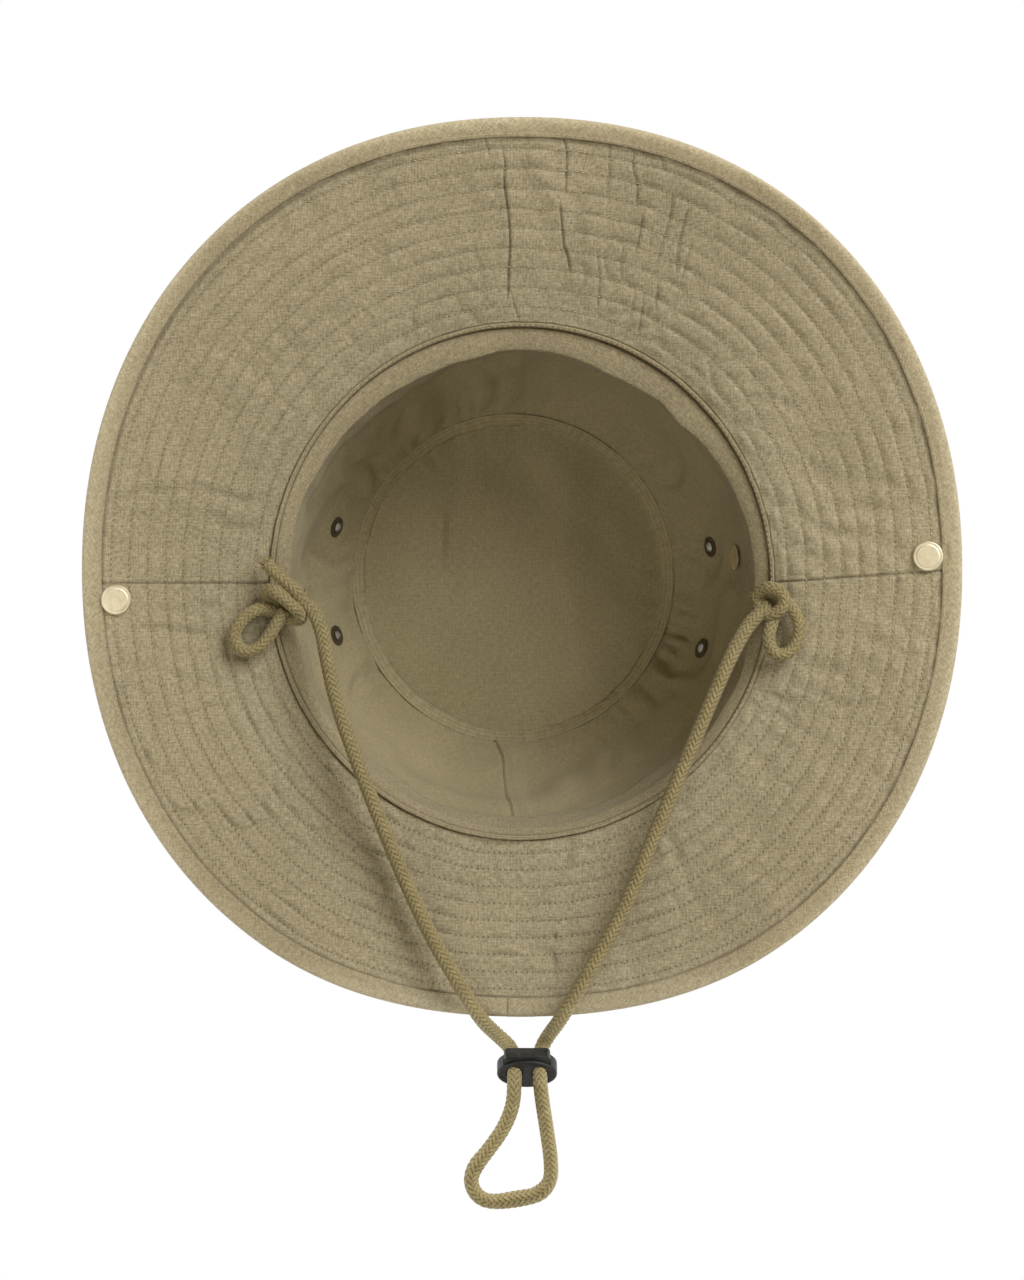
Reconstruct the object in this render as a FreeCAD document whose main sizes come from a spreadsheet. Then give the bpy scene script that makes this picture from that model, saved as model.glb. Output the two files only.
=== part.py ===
"""Boonie hat with snap-up brim sides, ventilation eyelets, chin cord and two-hole cord lock.

Frame, in millimetres: the hat stands right side up on its brim, +Z up through the crown.
The origin is under the middle of the brim, on the surface that the brim stands on.
-Y is the front of the hat, +Y the back, where the chin cord comes out from under the brim.
"""
import FreeCAD, Part
import math
import os
import Sketcher

V = FreeCAD.Vector
doc = FreeCAD.newDocument("boonie_hat")
sizes = doc.addObject("Spreadsheet::Sheet", "sizes")

DRIVING = {
    # crown, measured from the opening seam
    "seam_height": 16.0,
    "crown_center_y": 4.3,
    "opening_half_width": 91.0,
    "opening_half_length": 93.3,
    "wall_foot": 2.7,
    "wall_foot_half": 90.6,
    "wall_low": 24.0,
    "wall_low_half": 87.0,
    "wall_mid": 50.0,
    "wall_mid_half": 82.3,
    "wall_high": 74.0,
    "wall_high_half": 74.5,
    "wall_shoulder": 86.0,
    "wall_shoulder_half": 66.5,
    "wall_rim": 93.5,
    "wall_rim_half": 59.0,
    "length_ratio": 1.025,
    "fabric": 1.0,
    "fabric_gap": 0.2,
    "sweatband_height": 28.0,
    "sweatband_top_half": 83.4,
    "loop_band_slope": 0.17,
    "loop_band_from": 6.0,
    "loop_band_to": 27.0,
    # brim
    "brim_half_width": 157.2,
    "brim_half_length": 161.1,
    "brim_squareness": 2.11,
    "ply": 1.1,
    "binding_width": 7.2,
    "binding_cloth": 0.7,
    "binding_gap": 0.15,
    "fold_line": 95.8,
    "fold_gap": 0.6,
    "fold_closed_angle": 110.0,
    # snaps and eyelets
    "snap_reach": 145.4,
    "left_snap_y": 11.0,
    "right_snap_y": -4.6,
    "cap_radius": 5.35,
    "cap_height": 1.6,
    "socket_radius": 5.2,
    "socket_height": 1.9,
    "socket_bore": 2.7,
    "stud_radius": 4.7,
    "stud_flange": 0.6,
    "knob_radius": 2.1,
    "knob_height": 1.7,
    "shank_radius": 1.5,
    "eyelet_radius": 3.9,
    "eyelet_bore": 2.0,
    "eyelet_barrel": 2.5,
    "eyelet_flange": 0.5,
    # chin cord and cord lock
    "cord_diameter": 5.4,
    "cord_floor": 2.75,
    "lock_x": 1.8,
    "lock_y": 178.0,
    "lock_z": 9.75,
    "lock_tilt": 30.0,
    "lock_half_width": 10.75,
    "lock_half_height": 6.0,
    "lock_drop": 1.0,
    "lock_half_thickness": 3.7,
    "lock_rounding": 0.9,
    "hole_spacing": 9.0,
    "hole_radius": 3.05,
    "plunger_half_width": 8.3,
    "plunger_half_thickness": 2.5,
    "plunger_top": 6.3,
    "plunger_rounding": 1.8,
    "plunger_taper": 2.0,
    "plunger_narrowing": 3.0,
    "plunger_bottom": 3.8,
    "plunger_travel": 1.4,
    "lock_clearance": 0.2,
    "spring_radius": 1.3,
    "spring_wire": 0.25,
    "spring_turns": 2.5,
    "spring_play": 0.05,
    "spring_bore_top": 2.3,
}

# Bearings in degrees from +X, seen from above, on the crown's wall.
EYELET_BEARINGS = {
    "right_front": -10.0,
    "right_back": 20.0,
    "left_back": 164.0,
    "left_front": 196.0,
}
EYELET_LEAN = 25.0
SNAP_CLEARANCE = 0.3
HOLE_LENGTH = 12.0
HOLE_PLAY = 0.3
# The brim's edge stands on feet at FOOT_BEARING from the back and from the front, and arches between.
BACK_ARCH = 13.0
SIDE_ARCH = 5.0
FRONT_ARCH = 3.0
FOOT_BEARING = math.radians(33.0)
SECTION_STEP = 7.5
# Longer than the hat, for the boxes that divide it into zones.
FAR = 400.0
SIDES = ((-1, "left"), (1, "right"))

for row, (alias, number) in enumerate(DRIVING.items(), start=1):
    sizes.set(f"A{row}", alias)
    sizes.set(f"B{row}", str(number))
    sizes.setAlias(f"B{row}", alias)
doc.recompute()


def size(alias):
    """Return one driving dimension from the sheet."""
    return float(sizes.get(alias))


def cell(expression):
    """Turn a formula of aliases into a formula that names the sheet."""
    words = expression.replace("(", " ( ").replace(")", " ) ").split()
    return " ".join(f"sizes.{word}" if word in DRIVING else word for word in words)


finished = []


def finish(item, label):
    """Keep an object as one of the hat's sub-parts, under its own label."""
    item.Label = label
    finished.append(item)
    return item


# ---------------------------------------------------------------- sketch and body helpers

def new_body(name):
    return doc.addObject("PartDesign::Body", name)


def new_sketch(body, name, plane):
    """Add a sketch on one of the body's own origin planes."""
    sketch = body.newObject("Sketcher::SketchObject", name)
    origin_plane = [item for item in body.Origin.OriginFeatures if item.Role == plane][0]
    sketch.AttachmentSupport = (origin_plane, [""])
    sketch.MapMode = "FlatFace"
    return sketch


def polygon(sketch, corners):
    """Draw a closed polygon whose corners are pairs of formulas of the sheet's aliases."""
    count = len(corners)
    start = sketch.GeometryCount
    spots = []
    for across, up in corners:
        spots.append(V(value_of(across), value_of(up), 0))
    for index in range(count):
        sketch.addGeometry(Part.LineSegment(spots[index], spots[(index + 1) % count]), False)
    for index in range(count):
        following = start + (index + 1) % count
        sketch.addConstraint(Sketcher.Constraint("Coincident", start + index, 2, following, 1))
    for index, (across, up) in enumerate(corners):
        for kind, formula in (("DistanceX", across), ("DistanceY", up)):
            number = sketch.addConstraint(
                Sketcher.Constraint(kind, -1, 1, start + index, 1, value_of(formula)))
            sketch.setExpression(f"Constraints[{number}]", cell(formula))


def value_of(formula):
    """Work out a formula of the sheet's aliases as a number."""
    scratch = sizes.Document.getObject("calculator") or doc.addObject("App::FeaturePython", "calculator")
    if "Result" not in scratch.PropertiesList:
        scratch.addProperty("App::PropertyFloat", "Result")
    scratch.setExpression("Result", cell(formula))
    scratch.recompute()
    return scratch.Result


def circle(sketch, radius, across="0", up="0"):
    """Draw a circle whose radius and centre are formulas of the sheet's aliases."""
    center = V(value_of(across), value_of(up), 0)
    index = sketch.addGeometry(Part.Circle(center, V(0, 0, 1), value_of(radius)), False)
    for kind, formula in (("DistanceX", across), ("DistanceY", up)):
        number = sketch.addConstraint(
            Sketcher.Constraint(kind, -1, 1, index, 3, value_of(formula)))
        sketch.setExpression(f"Constraints[{number}]", cell(formula))
    number = sketch.addConstraint(Sketcher.Constraint("Radius", index, value_of(radius)))
    sketch.setExpression(f"Constraints[{number}]", cell(radius))


def pad(body, sketch, name, length, midplane=False):
    feature = body.newObject("PartDesign::Pad", name)
    feature.Profile = sketch
    feature.setExpression("Length", cell(length))
    feature.Midplane = midplane
    return feature


def pocket(body, sketch, name, length):
    """Cut a pocket of the given total depth, half on each side of the sketch."""
    feature = body.newObject("PartDesign::Pocket", name)
    feature.Profile = sketch
    feature.setExpression("Length", cell(length))
    feature.Midplane = True
    return feature


def turned(label, corners, placement):
    """Make a body by turning a profile of (radius, height) formulas about its own Z axis."""
    body = new_body(label)
    sketch = new_sketch(body, label + "_profile", "XZ_Plane")
    polygon(sketch, corners)
    feature = body.newObject("PartDesign::Revolution", label + "_turned")
    feature.Profile = sketch
    feature.ReferenceAxis = (sketch, ["V_Axis"])
    feature.Angle = 360.0
    body.Placement = placement
    return finish(body, label)


def looking_along(direction, base):
    """Return the placement that puts a body's Z axis along a direction, at a base point."""
    return FreeCAD.Placement(base, FreeCAD.Rotation(V(0, 0, 1), direction))


# ---------------------------------------------------------------- crown

WALL_LEVELS = ("wall_foot", "wall_low", "wall_mid", "wall_high", "wall_shoulder", "wall_rim")


def wall_half(height):
    """Return the inner half-width of the crown's wall at a height above the seam."""
    levels = [(size(level), size(level + "_half")) for level in WALL_LEVELS]
    for (low, low_half), (high, high_half) in zip(levels, levels[1:]):
        if height <= high:
            break
    return low_half + (high_half - low_half) * (height - low) / (high - low)


def ring_ellipse(name, height, half_width):
    """Draw the crown's outline at one level, as formulas for its height and its half-width."""
    ellipse = doc.addObject("Part::Ellipse", name)
    ellipse.Placement = FreeCAD.Placement(V(0, 0, 0), FreeCAD.Rotation(V(0, 0, 1), 90))
    ellipse.setExpression("MajorRadius", cell(f"( {half_width} ) * length_ratio"))
    ellipse.setExpression("MinorRadius", cell(half_width))
    ellipse.setExpression(".Placement.Base.y", cell("crown_center_y"))
    ellipse.setExpression(".Placement.Base.z", cell(f"seam_height + {height}"))
    return ellipse


def loft(name, sections):
    feature = doc.addObject("Part::Loft", name)
    feature.Sections = sections
    feature.Solid = True
    feature.Ruled = False
    return feature


def cut(name, base, tool):
    feature = doc.addObject("Part::Cut", name)
    feature.Base = base
    feature.Tool = tool
    return feature


def wall_loft(name, levels, extra):
    """Loft the crown's outline through levels, moved outwards by a formula."""
    sections = []
    for index, (height, half_width) in enumerate(levels):
        section_name = f"{name}_level_{index}"
        sections.append(ring_ellipse(section_name, height, f"{half_width} + {extra}"))
    return loft(name, sections)


def hollow_band(name, levels, inner, outer):
    """Make a thin band between two offsets of the crown's outline."""
    body = wall_loft(name + "_outside", levels, outer)
    core = wall_loft(name + "_inside", levels, inner)
    return cut(name, body, core)


def wall_point(height, bearing):
    """Return a point on the crown's wall and the wall's outward direction there."""
    half = wall_half(height)
    angle = math.radians(bearing)
    ratio = size("length_ratio")
    point = V(half * math.cos(angle),
              size("crown_center_y") + half * ratio * math.sin(angle),
              size("seam_height") + height)
    lean = math.radians(EYELET_LEAN)
    outward = V(math.cos(angle) * math.cos(lean), math.sin(angle) * math.cos(lean), math.sin(lean))
    return point, outward


def fold(point, side, degrees):
    """Turn a point of a brim side about its fold line, upwards by some degrees."""
    hinge = V(side * size("fold_line"), 0, fold_height())
    turn = FreeCAD.Rotation(V(0, -side, 0), degrees)
    return hinge + turn.multVec(point - hinge)


def edge_height(angle):
    """Return the height of the brim's edge at an angle from the back, in radians."""
    turn = abs(math.atan2(math.sin(angle), math.cos(angle)))
    if turn < FOOT_BEARING:
        return BACK_ARCH * wave(turn / FOOT_BEARING)
    if turn < math.pi - FOOT_BEARING:
        share = (turn - FOOT_BEARING) / (math.pi - 2 * FOOT_BEARING)
        return SIDE_ARCH * math.sin(share * math.pi) ** 2
    return FRONT_ARCH * wave((math.pi - turn) / FOOT_BEARING)


def wave(share):
    """Fall smoothly from 1 at 0 to 0 at 1."""
    return 0.5 + 0.5 * math.cos(share * math.pi)


def side_slope():
    """Return the downward slope of the brim at its sides, in radians."""
    drop = size("seam_height") - edge_height(math.pi / 2) - size("binding_cloth") - size("binding_gap")
    return math.atan(drop / (size("brim_half_width") - size("opening_half_width")))


def brim_stack():
    """Return the thickness of the two brim plies and the gap between them."""
    return 2 * size("ply") + size("fabric_gap")


def side_underside(reach):
    """Return the height of the brim's underside at a distance to the side."""
    return size("seam_height") - (reach - size("opening_half_width")) * math.tan(side_slope())


def fold_height():
    """Return the height of the fold lines, just over the brim's upper side."""
    return side_underside(size("fold_line")) + brim_stack() + 0.1


def snap_frame(side):
    """Return the snap's seat on the brim's upper side, and the brim's normal there."""
    snap_y = size("left_snap_y") if side < 0 else size("right_snap_y")
    slope = side_slope()
    normal = V(side * math.sin(slope), 0, math.cos(slope))
    seat = V(side * size("snap_reach"), snap_y, side_underside(size("snap_reach")) + brim_stack())
    return seat, normal


def stud_frame(side):
    """Return the stud's seat outside the crown and its axis, where the folded snap closes on it."""
    seat, normal = snap_frame(side)
    closed_seat = fold(seat, side, size("fold_closed_angle"))
    axis = FreeCAD.Rotation(V(0, -side, 0), size("fold_closed_angle")).multVec(normal) * -1
    reach = size("socket_height") + size("stud_flange") + SNAP_CLEARANCE
    return closed_seat - axis * reach, axis


def drill(name, point, direction, radius):
    """Make a cylinder centred on a point, to cut a hole with."""
    tool = doc.addObject("Part::Cylinder", name)
    tool.setExpression("Radius", cell(radius))
    tool.Height = HOLE_LENGTH
    start = point - direction * (HOLE_LENGTH / 2)
    tool.Placement = looking_along(direction, start)
    return tool


def crown():
    levels = [(level, level + "_half") for level in WALL_LEVELS]
    wall = hollow_band("wall_cloth", levels, "0", "fabric")
    tools = []
    for place, bearing in EYELET_BEARINGS.items():
        point, outward = wall_point(size("wall_high"), bearing)
        tools.append(drill(place + "_eyelet_hole", point, outward, f"eyelet_barrel + {HOLE_PLAY}"))
    for side, word in SIDES:
        point, axis = stud_frame(side)
        tools.append(drill(word + "_stud_hole", point, axis, f"shank_radius + {HOLE_PLAY}"))
    holes = doc.addObject("Part::Compound", "wall_holes")
    holes.Links = tools
    finish(cut("crown_side", wall, holes), "crown_side")

    tip = new_body("crown_tip")
    outline = new_sketch(tip, "tip_outline", "XY_Plane")
    half = "wall_rim_half + fabric"
    circle_like(outline, half, f"( {half} ) * length_ratio")
    pad(tip, outline, "tip_cloth", "fabric")
    tip.Placement = FreeCAD.Placement(
        V(0, size("crown_center_y"), size("seam_height") + size("wall_rim") + HOLE_PLAY),
        FreeCAD.Rotation())
    finish(tip, "crown_tip")

    band_levels = [("wall_foot", "wall_foot_half"), ("sweatband_height", "sweatband_top_half")]
    sweatband = hollow_band("sweatband_cloth", band_levels, "0 - fabric - fabric_gap", "0 - fabric_gap")
    finish(sweatband, "sweatband")

    low = "wall_foot_half - ( loop_band_from - wall_foot ) * loop_band_slope"
    high = "wall_foot_half - ( loop_band_to - wall_foot ) * loop_band_slope"
    loop_levels = [("loop_band_from", low), ("loop_band_to", high)]
    loops = hollow_band("loop_band_cloth", loop_levels, "fabric + 2 * fabric_gap", "2 * fabric + 2 * fabric_gap")
    finish(loops, "branch_loop_band")


def circle_like(sketch, half_width, half_length):
    """Draw an upright ellipse about the sketch's origin from formulas for its half sizes."""
    half_x = value_of(half_width)
    half_y = value_of(half_length)
    long_axis, short_axis = V(0, half_y, 0), V(half_x, 0, 0)
    formulas = (("DistanceY", half_length), ("DistanceX", half_width))
    if half_x > half_y:
        long_axis, short_axis = V(half_x, 0, 0), V(0, -half_y, 0)
        formulas = formulas[::-1]
    ellipse = Part.Ellipse(long_axis, short_axis, V(0, 0, 0))
    index = sketch.addGeometry(ellipse, False)
    sketch.exposeInternalGeometry(index)
    sketch.addConstraint(Sketcher.Constraint("Coincident", index, 3, -1, 1))
    axes = []
    for geometry in range(index + 1, sketch.GeometryCount):
        item = sketch.Geometry[geometry]
        if item.TypeId == "Part::GeomLineSegment":
            axes.append(geometry)
    for geometry, (kind, formula) in zip(axes, formulas):
        item = sketch.Geometry[geometry]
        run = item.EndPoint - item.StartPoint
        forward = run.y > 0 if kind == "DistanceY" else run.x > 0
        first, last = (1, 2) if forward else (2, 1)
        number = sketch.addConstraint(
            Sketcher.Constraint(kind, geometry, first, geometry, last, 2 * value_of(formula)))
        sketch.setExpression(f"Constraints[{number}]", cell(f"2 * ( {formula} )"))


# ---------------------------------------------------------------- brim

def outline_point(angle, inset):
    """Return a point of the brim's outline, moved inwards, at an angle from the back."""
    power = 2.0 / size("brim_squareness")
    across = math.copysign(abs(math.sin(angle)) ** power, math.sin(angle))
    along = math.copysign(abs(math.cos(angle)) ** power, math.cos(angle))
    return V((size("brim_half_width") - inset) * across, (size("brim_half_length") - inset) * along, 0)


def brim_section(angle, corners):
    """Return the cross-section wire at an angle; each corner is (from the edge, above the underside)."""
    start = V(size("opening_half_width") * math.sin(angle),
              size("crown_center_y") + size("opening_half_length") * math.cos(angle), 0)
    edge = outline_point(angle, 0)
    width = (edge - start).Length
    edge_underside = edge_height(angle) + size("binding_cloth") + size("binding_gap")
    points = []
    for inset, lift in corners:
        from_seam = width if inset is None else inset
        spot = edge + (start - edge) * (from_seam / width)
        height = edge_underside + (size("seam_height") - edge_underside) * (from_seam / width)
        points.append(V(spot.x, spot.y, height + lift))
    return Part.makePolygon(points + points[:1])


def brim_band(first_degrees, last_degrees, corners):
    """Loft a band of the brim between two bearings from the back."""
    steps = round((last_degrees - first_degrees) / SECTION_STEP)
    wires = []
    for step in range(steps + 1):
        degrees = first_degrees + (last_degrees - first_degrees) * step / steps
        wires.append(brim_section(math.radians(degrees), corners))
    return Part.makeLoft(wires, True, False)


def zone_box(side):
    """Return the box that holds one side of the brim, or with side 0 what stays with the crown."""
    half_gap = size("fold_gap") / 2
    if side == 0:
        reach = size("fold_line") - half_gap
        return Part.makeBox(2 * reach, 2 * FAR, FAR, V(-reach, -FAR, -FAR / 2))
    start = size("fold_line") + half_gap
    corner = V(start, -FAR, -FAR / 2) if side > 0 else V(-start - FAR, -FAR, -FAR / 2)
    return Part.makeBox(FAR, 2 * FAR, FAR, corner)


def cloth_piece(label, band, side, holes=()):
    """Keep the part of a band that lies in one zone of the brim, with its holes cut."""
    shape = band.common(zone_box(side))
    for hole in holes:
        shape = shape.cut(hole)
    solid = max(shape.Solids, key=lambda item: item.Volume)
    feature = doc.addObject("Part::Feature", label)
    feature.Shape = solid
    finish(feature, label)


def snap_holes(radius):
    """Return cylinders along both snaps' axes, to cut the brim's layers with."""
    holes = []
    for side, word in SIDES:
        seat, normal = snap_frame(side)
        start = seat - normal * (HOLE_LENGTH / 2)
        holes.append(Part.makeCylinder(radius, HOLE_LENGTH, start, normal))
    return holes


def brim_plies():
    ply = size("ply")
    inset = size("binding_cloth") + size("binding_gap")
    lower = ((None, 0), (inset, 0), (inset, ply), (None, ply))
    top = ply + size("fabric_gap")
    upper = ((None, top), (inset, top), (inset, top + ply), (None, top + ply))
    holes = snap_holes(size("shank_radius") + HOLE_PLAY)
    for layer, corners in (("lower", lower), ("upper", upper)):
        for half, first, last in (("back", -90, 90), ("front", 90, 270)):
            band = brim_band(first, last, corners)
            cloth_piece(f"brim_{layer}_{half}", band, 0)
            cloth_piece(f"left_brim_{layer}_{half}", band, -1, holes)
            cloth_piece(f"right_brim_{layer}_{half}", band, 1, holes)


def brim_binding():
    cloth = size("binding_cloth")
    play = size("binding_gap")
    width = size("binding_width")
    top = brim_stack() + play
    channel = (
        (0, -play - cloth), (width, -play - cloth), (width, -play), (cloth, -play),
        (cloth, top), (width, top), (width, top + cloth), (0, top + cloth))
    notches = snap_holes(size("cap_radius") + 2 * HOLE_PLAY)
    for label, first, last, side in (
            ("binding_back", -45, 45, 0), ("binding_front", 135, 225, 0),
            ("right_binding", 30, 150, 1), ("left_binding", 210, 330, -1)):
        cloth_piece(label, brim_band(first, last, channel), side, notches)


# ---------------------------------------------------------------- snaps and eyelets

def snaps():
    stack = brim_stack() + HOLE_PLAY
    for side, word in SIDES:
        seat, normal = snap_frame(side)
        under = seat - normal * stack
        turned(word + "_snap_cap", (
            ("0", "0"), ("cap_radius * 0.72", "0"), ("cap_radius * 0.80", "0.15"),
            ("cap_radius * 0.92", "0.1"), ("cap_radius", "0.5"), ("cap_radius", "cap_height - 0.5"),
            ("cap_radius * 0.9", "cap_height"), ("shank_radius", "cap_height"),
            ("shank_radius", f"cap_height + {stack}"), ("0", f"cap_height + {stack}")),
            looking_along(normal, under - normal * size("cap_height")))
        turned(word + "_snap_socket", (
            ("shank_radius + 0.1", "0.1"), ("socket_radius", "0.1"), ("socket_radius", "0.8"),
            ("socket_radius - 1.2", "socket_height"), ("socket_bore", "socket_height"),
            ("socket_bore", "0.5"), ("shank_radius + 0.1", "0.5")),
            looking_along(normal, seat))
        base, axis = stud_frame(side)
        turned(word + "_snap_stud", (
            ("0", "0"), ("stud_radius", "0"), ("stud_radius", "stud_flange"),
            ("knob_radius - 0.4", "stud_flange"), ("knob_radius", "stud_flange + 0.9"),
            ("knob_radius - 0.5", "stud_flange + knob_height"), ("0", "stud_flange + knob_height")),
            looking_along(axis, base))
        grip = 2 * size("fabric") + 1.1
        turned(word + "_snap_post", (
            ("0", "0"), ("stud_radius", "0"), ("stud_radius", "0.5"), ("shank_radius", "0.7"),
            ("shank_radius", f"{grip}"), ("0", f"{grip}")),
            looking_along(axis, base - axis * (grip + 0.02)))


def eyelets():
    for place, bearing in EYELET_BEARINGS.items():
        point, outward = wall_point(size("wall_high"), bearing)
        outer = f"fabric + {HOLE_PLAY}"
        turned(place + "_eyelet", (
            ("eyelet_bore", "0 - 0.9"), ("eyelet_barrel", "0 - 0.9"), ("eyelet_barrel", outer),
            ("eyelet_radius", outer), ("eyelet_radius", outer + " + eyelet_flange * 0.6"),
            ("eyelet_barrel", outer + " + eyelet_flange"), ("eyelet_bore", outer + " + 0.2")),
            looking_along(outward, point))
        turned(place + "_eyelet_washer", (
            ("eyelet_barrel + 0.1", "0 - eyelet_flange - 0.3"), ("eyelet_radius", "0 - eyelet_flange - 0.2"),
            ("eyelet_radius", "0 - 0.3"), ("eyelet_barrel + 0.1", "0 - 0.3")),
            looking_along(outward, point))


# ---------------------------------------------------------------- cord, knots and lock

FLOOR = size("cord_floor")
HALF_SPACING = size("hole_spacing") / 2
LEFT_HOLE = size("lock_x") - HALF_SPACING
RIGHT_HOLE = size("lock_x") + HALF_SPACING

# From the left knot under the brim's back edge, through the lock, round the loop and back to the right knot.
CORD_ROUTE = (
    (-82.0, 10.0, 10.0), (-76.0, 12.5, 8.8), (-71.6, 20.5, 5.2), (-69.3, 33.0, FLOOR),
    (-65.8, 49.0, FLOOR), (-55.4, 77.5, FLOOR), (-36.0, 124.5, FLOOR), (-22.6, 147.6, FLOOR),
    (-14.6, 161.2, 7.4), (-8.8, 168.0, 16.8), (LEFT_HOLE, 173.75, 17.1), (LEFT_HOLE, 182.04, FLOOR),
    (-3.1, 190.6, FLOOR), (-6.4, 198.8, FLOOR), (-12.0, 206.6, FLOOR), (-17.0, 212.6, FLOOR),
    (-18.6, 218.2, FLOOR), (-15.6, 223.6, FLOOR), (-10.2, 225.2, FLOOR), (-1.4, 223.9, FLOOR),
    (5.8, 222.6, FLOOR), (10.3, 217.9, FLOOR), (10.3, 210.0, FLOOR), (8.8, 199.6, FLOOR),
    (7.2, 189.6, FLOOR), (RIGHT_HOLE, 182.04, FLOOR), (RIGHT_HOLE, 173.75, 17.1), (9.6, 168.0, 16.8),
    (13.6, 161.2, 7.4), (20.3, 149.2, FLOOR), (26.6, 138.4, FLOOR), (37.2, 119.5, FLOOR),
    (46.7, 95.0, FLOOR), (63.6, 55.5, FLOOR), (71.6, 36.5, FLOOR),
    (77.2, 25.5, 5.0), (82.5, 17.6, 8.8), (88.5, 13.0, 10.0))

KNOT_ROUTES = {
    "left_knot_bight": (
        (-86.0, 11.5, 10.5), (-93.8, 13.6, 9.5), (-100.6, 18.0, 8.8), (-103.6, 24.2, 8.6),
        (-100.4, 29.6, 8.5), (-94.4, 28.8, 8.4), (-90.0, 23.4, 8.4), (-85.2, 15.0, 8.8)),
    "left_knot_tail": ((-83.5, 7.0, 9.5), (-91.2, -1.6, 8.8)),
    "right_knot_bight": (
        (89.0, 11.0, 9.5), (95.2, 12.6, 9.0), (99.0, 18.0, 8.8), (99.2, 24.6, 8.6),
        (95.6, 30.4, 8.5), (90.0, 30.8, 8.4), (87.8, 25.4, 8.4), (88.6, 18.0, 8.8)),
}
ARC_SHARE = 0.45
# The knots' cores: the middle, then the half sizes across, along and up.
KNOTS = {
    "left_knot": ((-84.2, 10.0, 10.2), (6.6, 6.6, 4.8)),
    "right_knot": ((89.6, 13.0, 10.2), (6.2, 6.6, 4.8)),
}
# The tapes that hold the knots inside the sweatband: the lowest corner, and one size for both.
ANCHORS = {"left_cord_anchor": (-87.8, 6.5, 13.2), "right_cord_anchor": (86.6, 6.5, 13.2)}
ANCHOR_SIZE = (1.2, 8.0, 9.0)


def rounded_path(points, label):
    """Join straight runs by tangent arcs, each as large as its two runs allow."""
    spots = [V(*point) for point in points]
    edges = []
    radii = []
    start = spots[0]
    for before, corner, after in zip(spots, spots[1:], spots[2:]):
        back = before - corner
        ahead = after - corner
        half_turn = (math.pi - back.getAngle(ahead)) / 2
        tangent = ARC_SHARE * min(back.Length, ahead.Length)
        radii.append(tangent / math.tan(half_turn))
        back.normalize()
        ahead.normalize()
        first = corner + back * tangent
        last = corner + ahead * tangent
        bisector = back + ahead
        bisector.normalize()
        center_distance = radii[-1] / math.cos(half_turn)
        middle = corner + bisector * (center_distance - radii[-1])
        edges.append(Part.LineSegment(start, first).toShape())
        edges.append(Part.Arc(first, middle, last).toShape())
        start = last
    edges.append(Part.LineSegment(start, spots[-1]).toShape())
    print(label, "arc radii", [round(radius, 1) for radius in radii])
    return Part.Wire(edges), V(spots[1] - spots[0])


def cord_tube(label, points):
    """Sweep the cord's round section along a route and compare its volume with its length."""
    path, direction = rounded_path(points, label)
    radius = size("cord_diameter") / 2
    section = Part.Wire(Part.makeCircle(radius, V(*points[0]), direction))
    shape = path.makePipeShell([section], True, True)
    expected = math.pi * radius ** 2 * path.Length
    print(label, "length", round(path.Length, 1), "volume share", round(shape.Volume / expected, 4))
    feature = doc.addObject("Part::Feature", label)
    feature.Shape = shape.Solids[0] if shape.Solids else shape
    finish(feature, label)


def cord():
    cord_tube("chin_cord", CORD_ROUTE)
    for label, points in KNOT_ROUTES.items():
        cord_tube(label, points)
    for label, (center, half_sizes) in KNOTS.items():
        core = doc.addObject("Part::Ellipsoid", label)
        core.Radius2, core.Radius3, core.Radius1 = half_sizes
        core.Placement = FreeCAD.Placement(V(*center), FreeCAD.Rotation())
        finish(core, label)
    for label, corner in ANCHORS.items():
        tape = doc.addObject("Part::Box", label)
        tape.Length, tape.Width, tape.Height = ANCHOR_SIZE
        tape.Placement = FreeCAD.Placement(V(*corner), FreeCAD.Rotation())
        finish(tape, label)


def lock_placement(toward_plunger):
    """Return a placement with X across, Y towards the plunger and Z along the cord's holes.

    The point that is toward_plunger from the middle of the holes becomes the origin.
    """
    tilt = math.radians(size("lock_tilt"))
    along_holes = V(0, math.sin(tilt), -math.cos(tilt))
    to_plunger = V(0, -math.cos(tilt), -math.sin(tilt))
    turn = FreeCAD.Rotation(V(1, 0, 0), to_plunger, along_holes, "ZXY")
    middle = V(size("lock_x"), size("lock_y"), size("lock_z"))
    return FreeCAD.Placement(middle + to_plunger * toward_plunger, turn)


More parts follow.
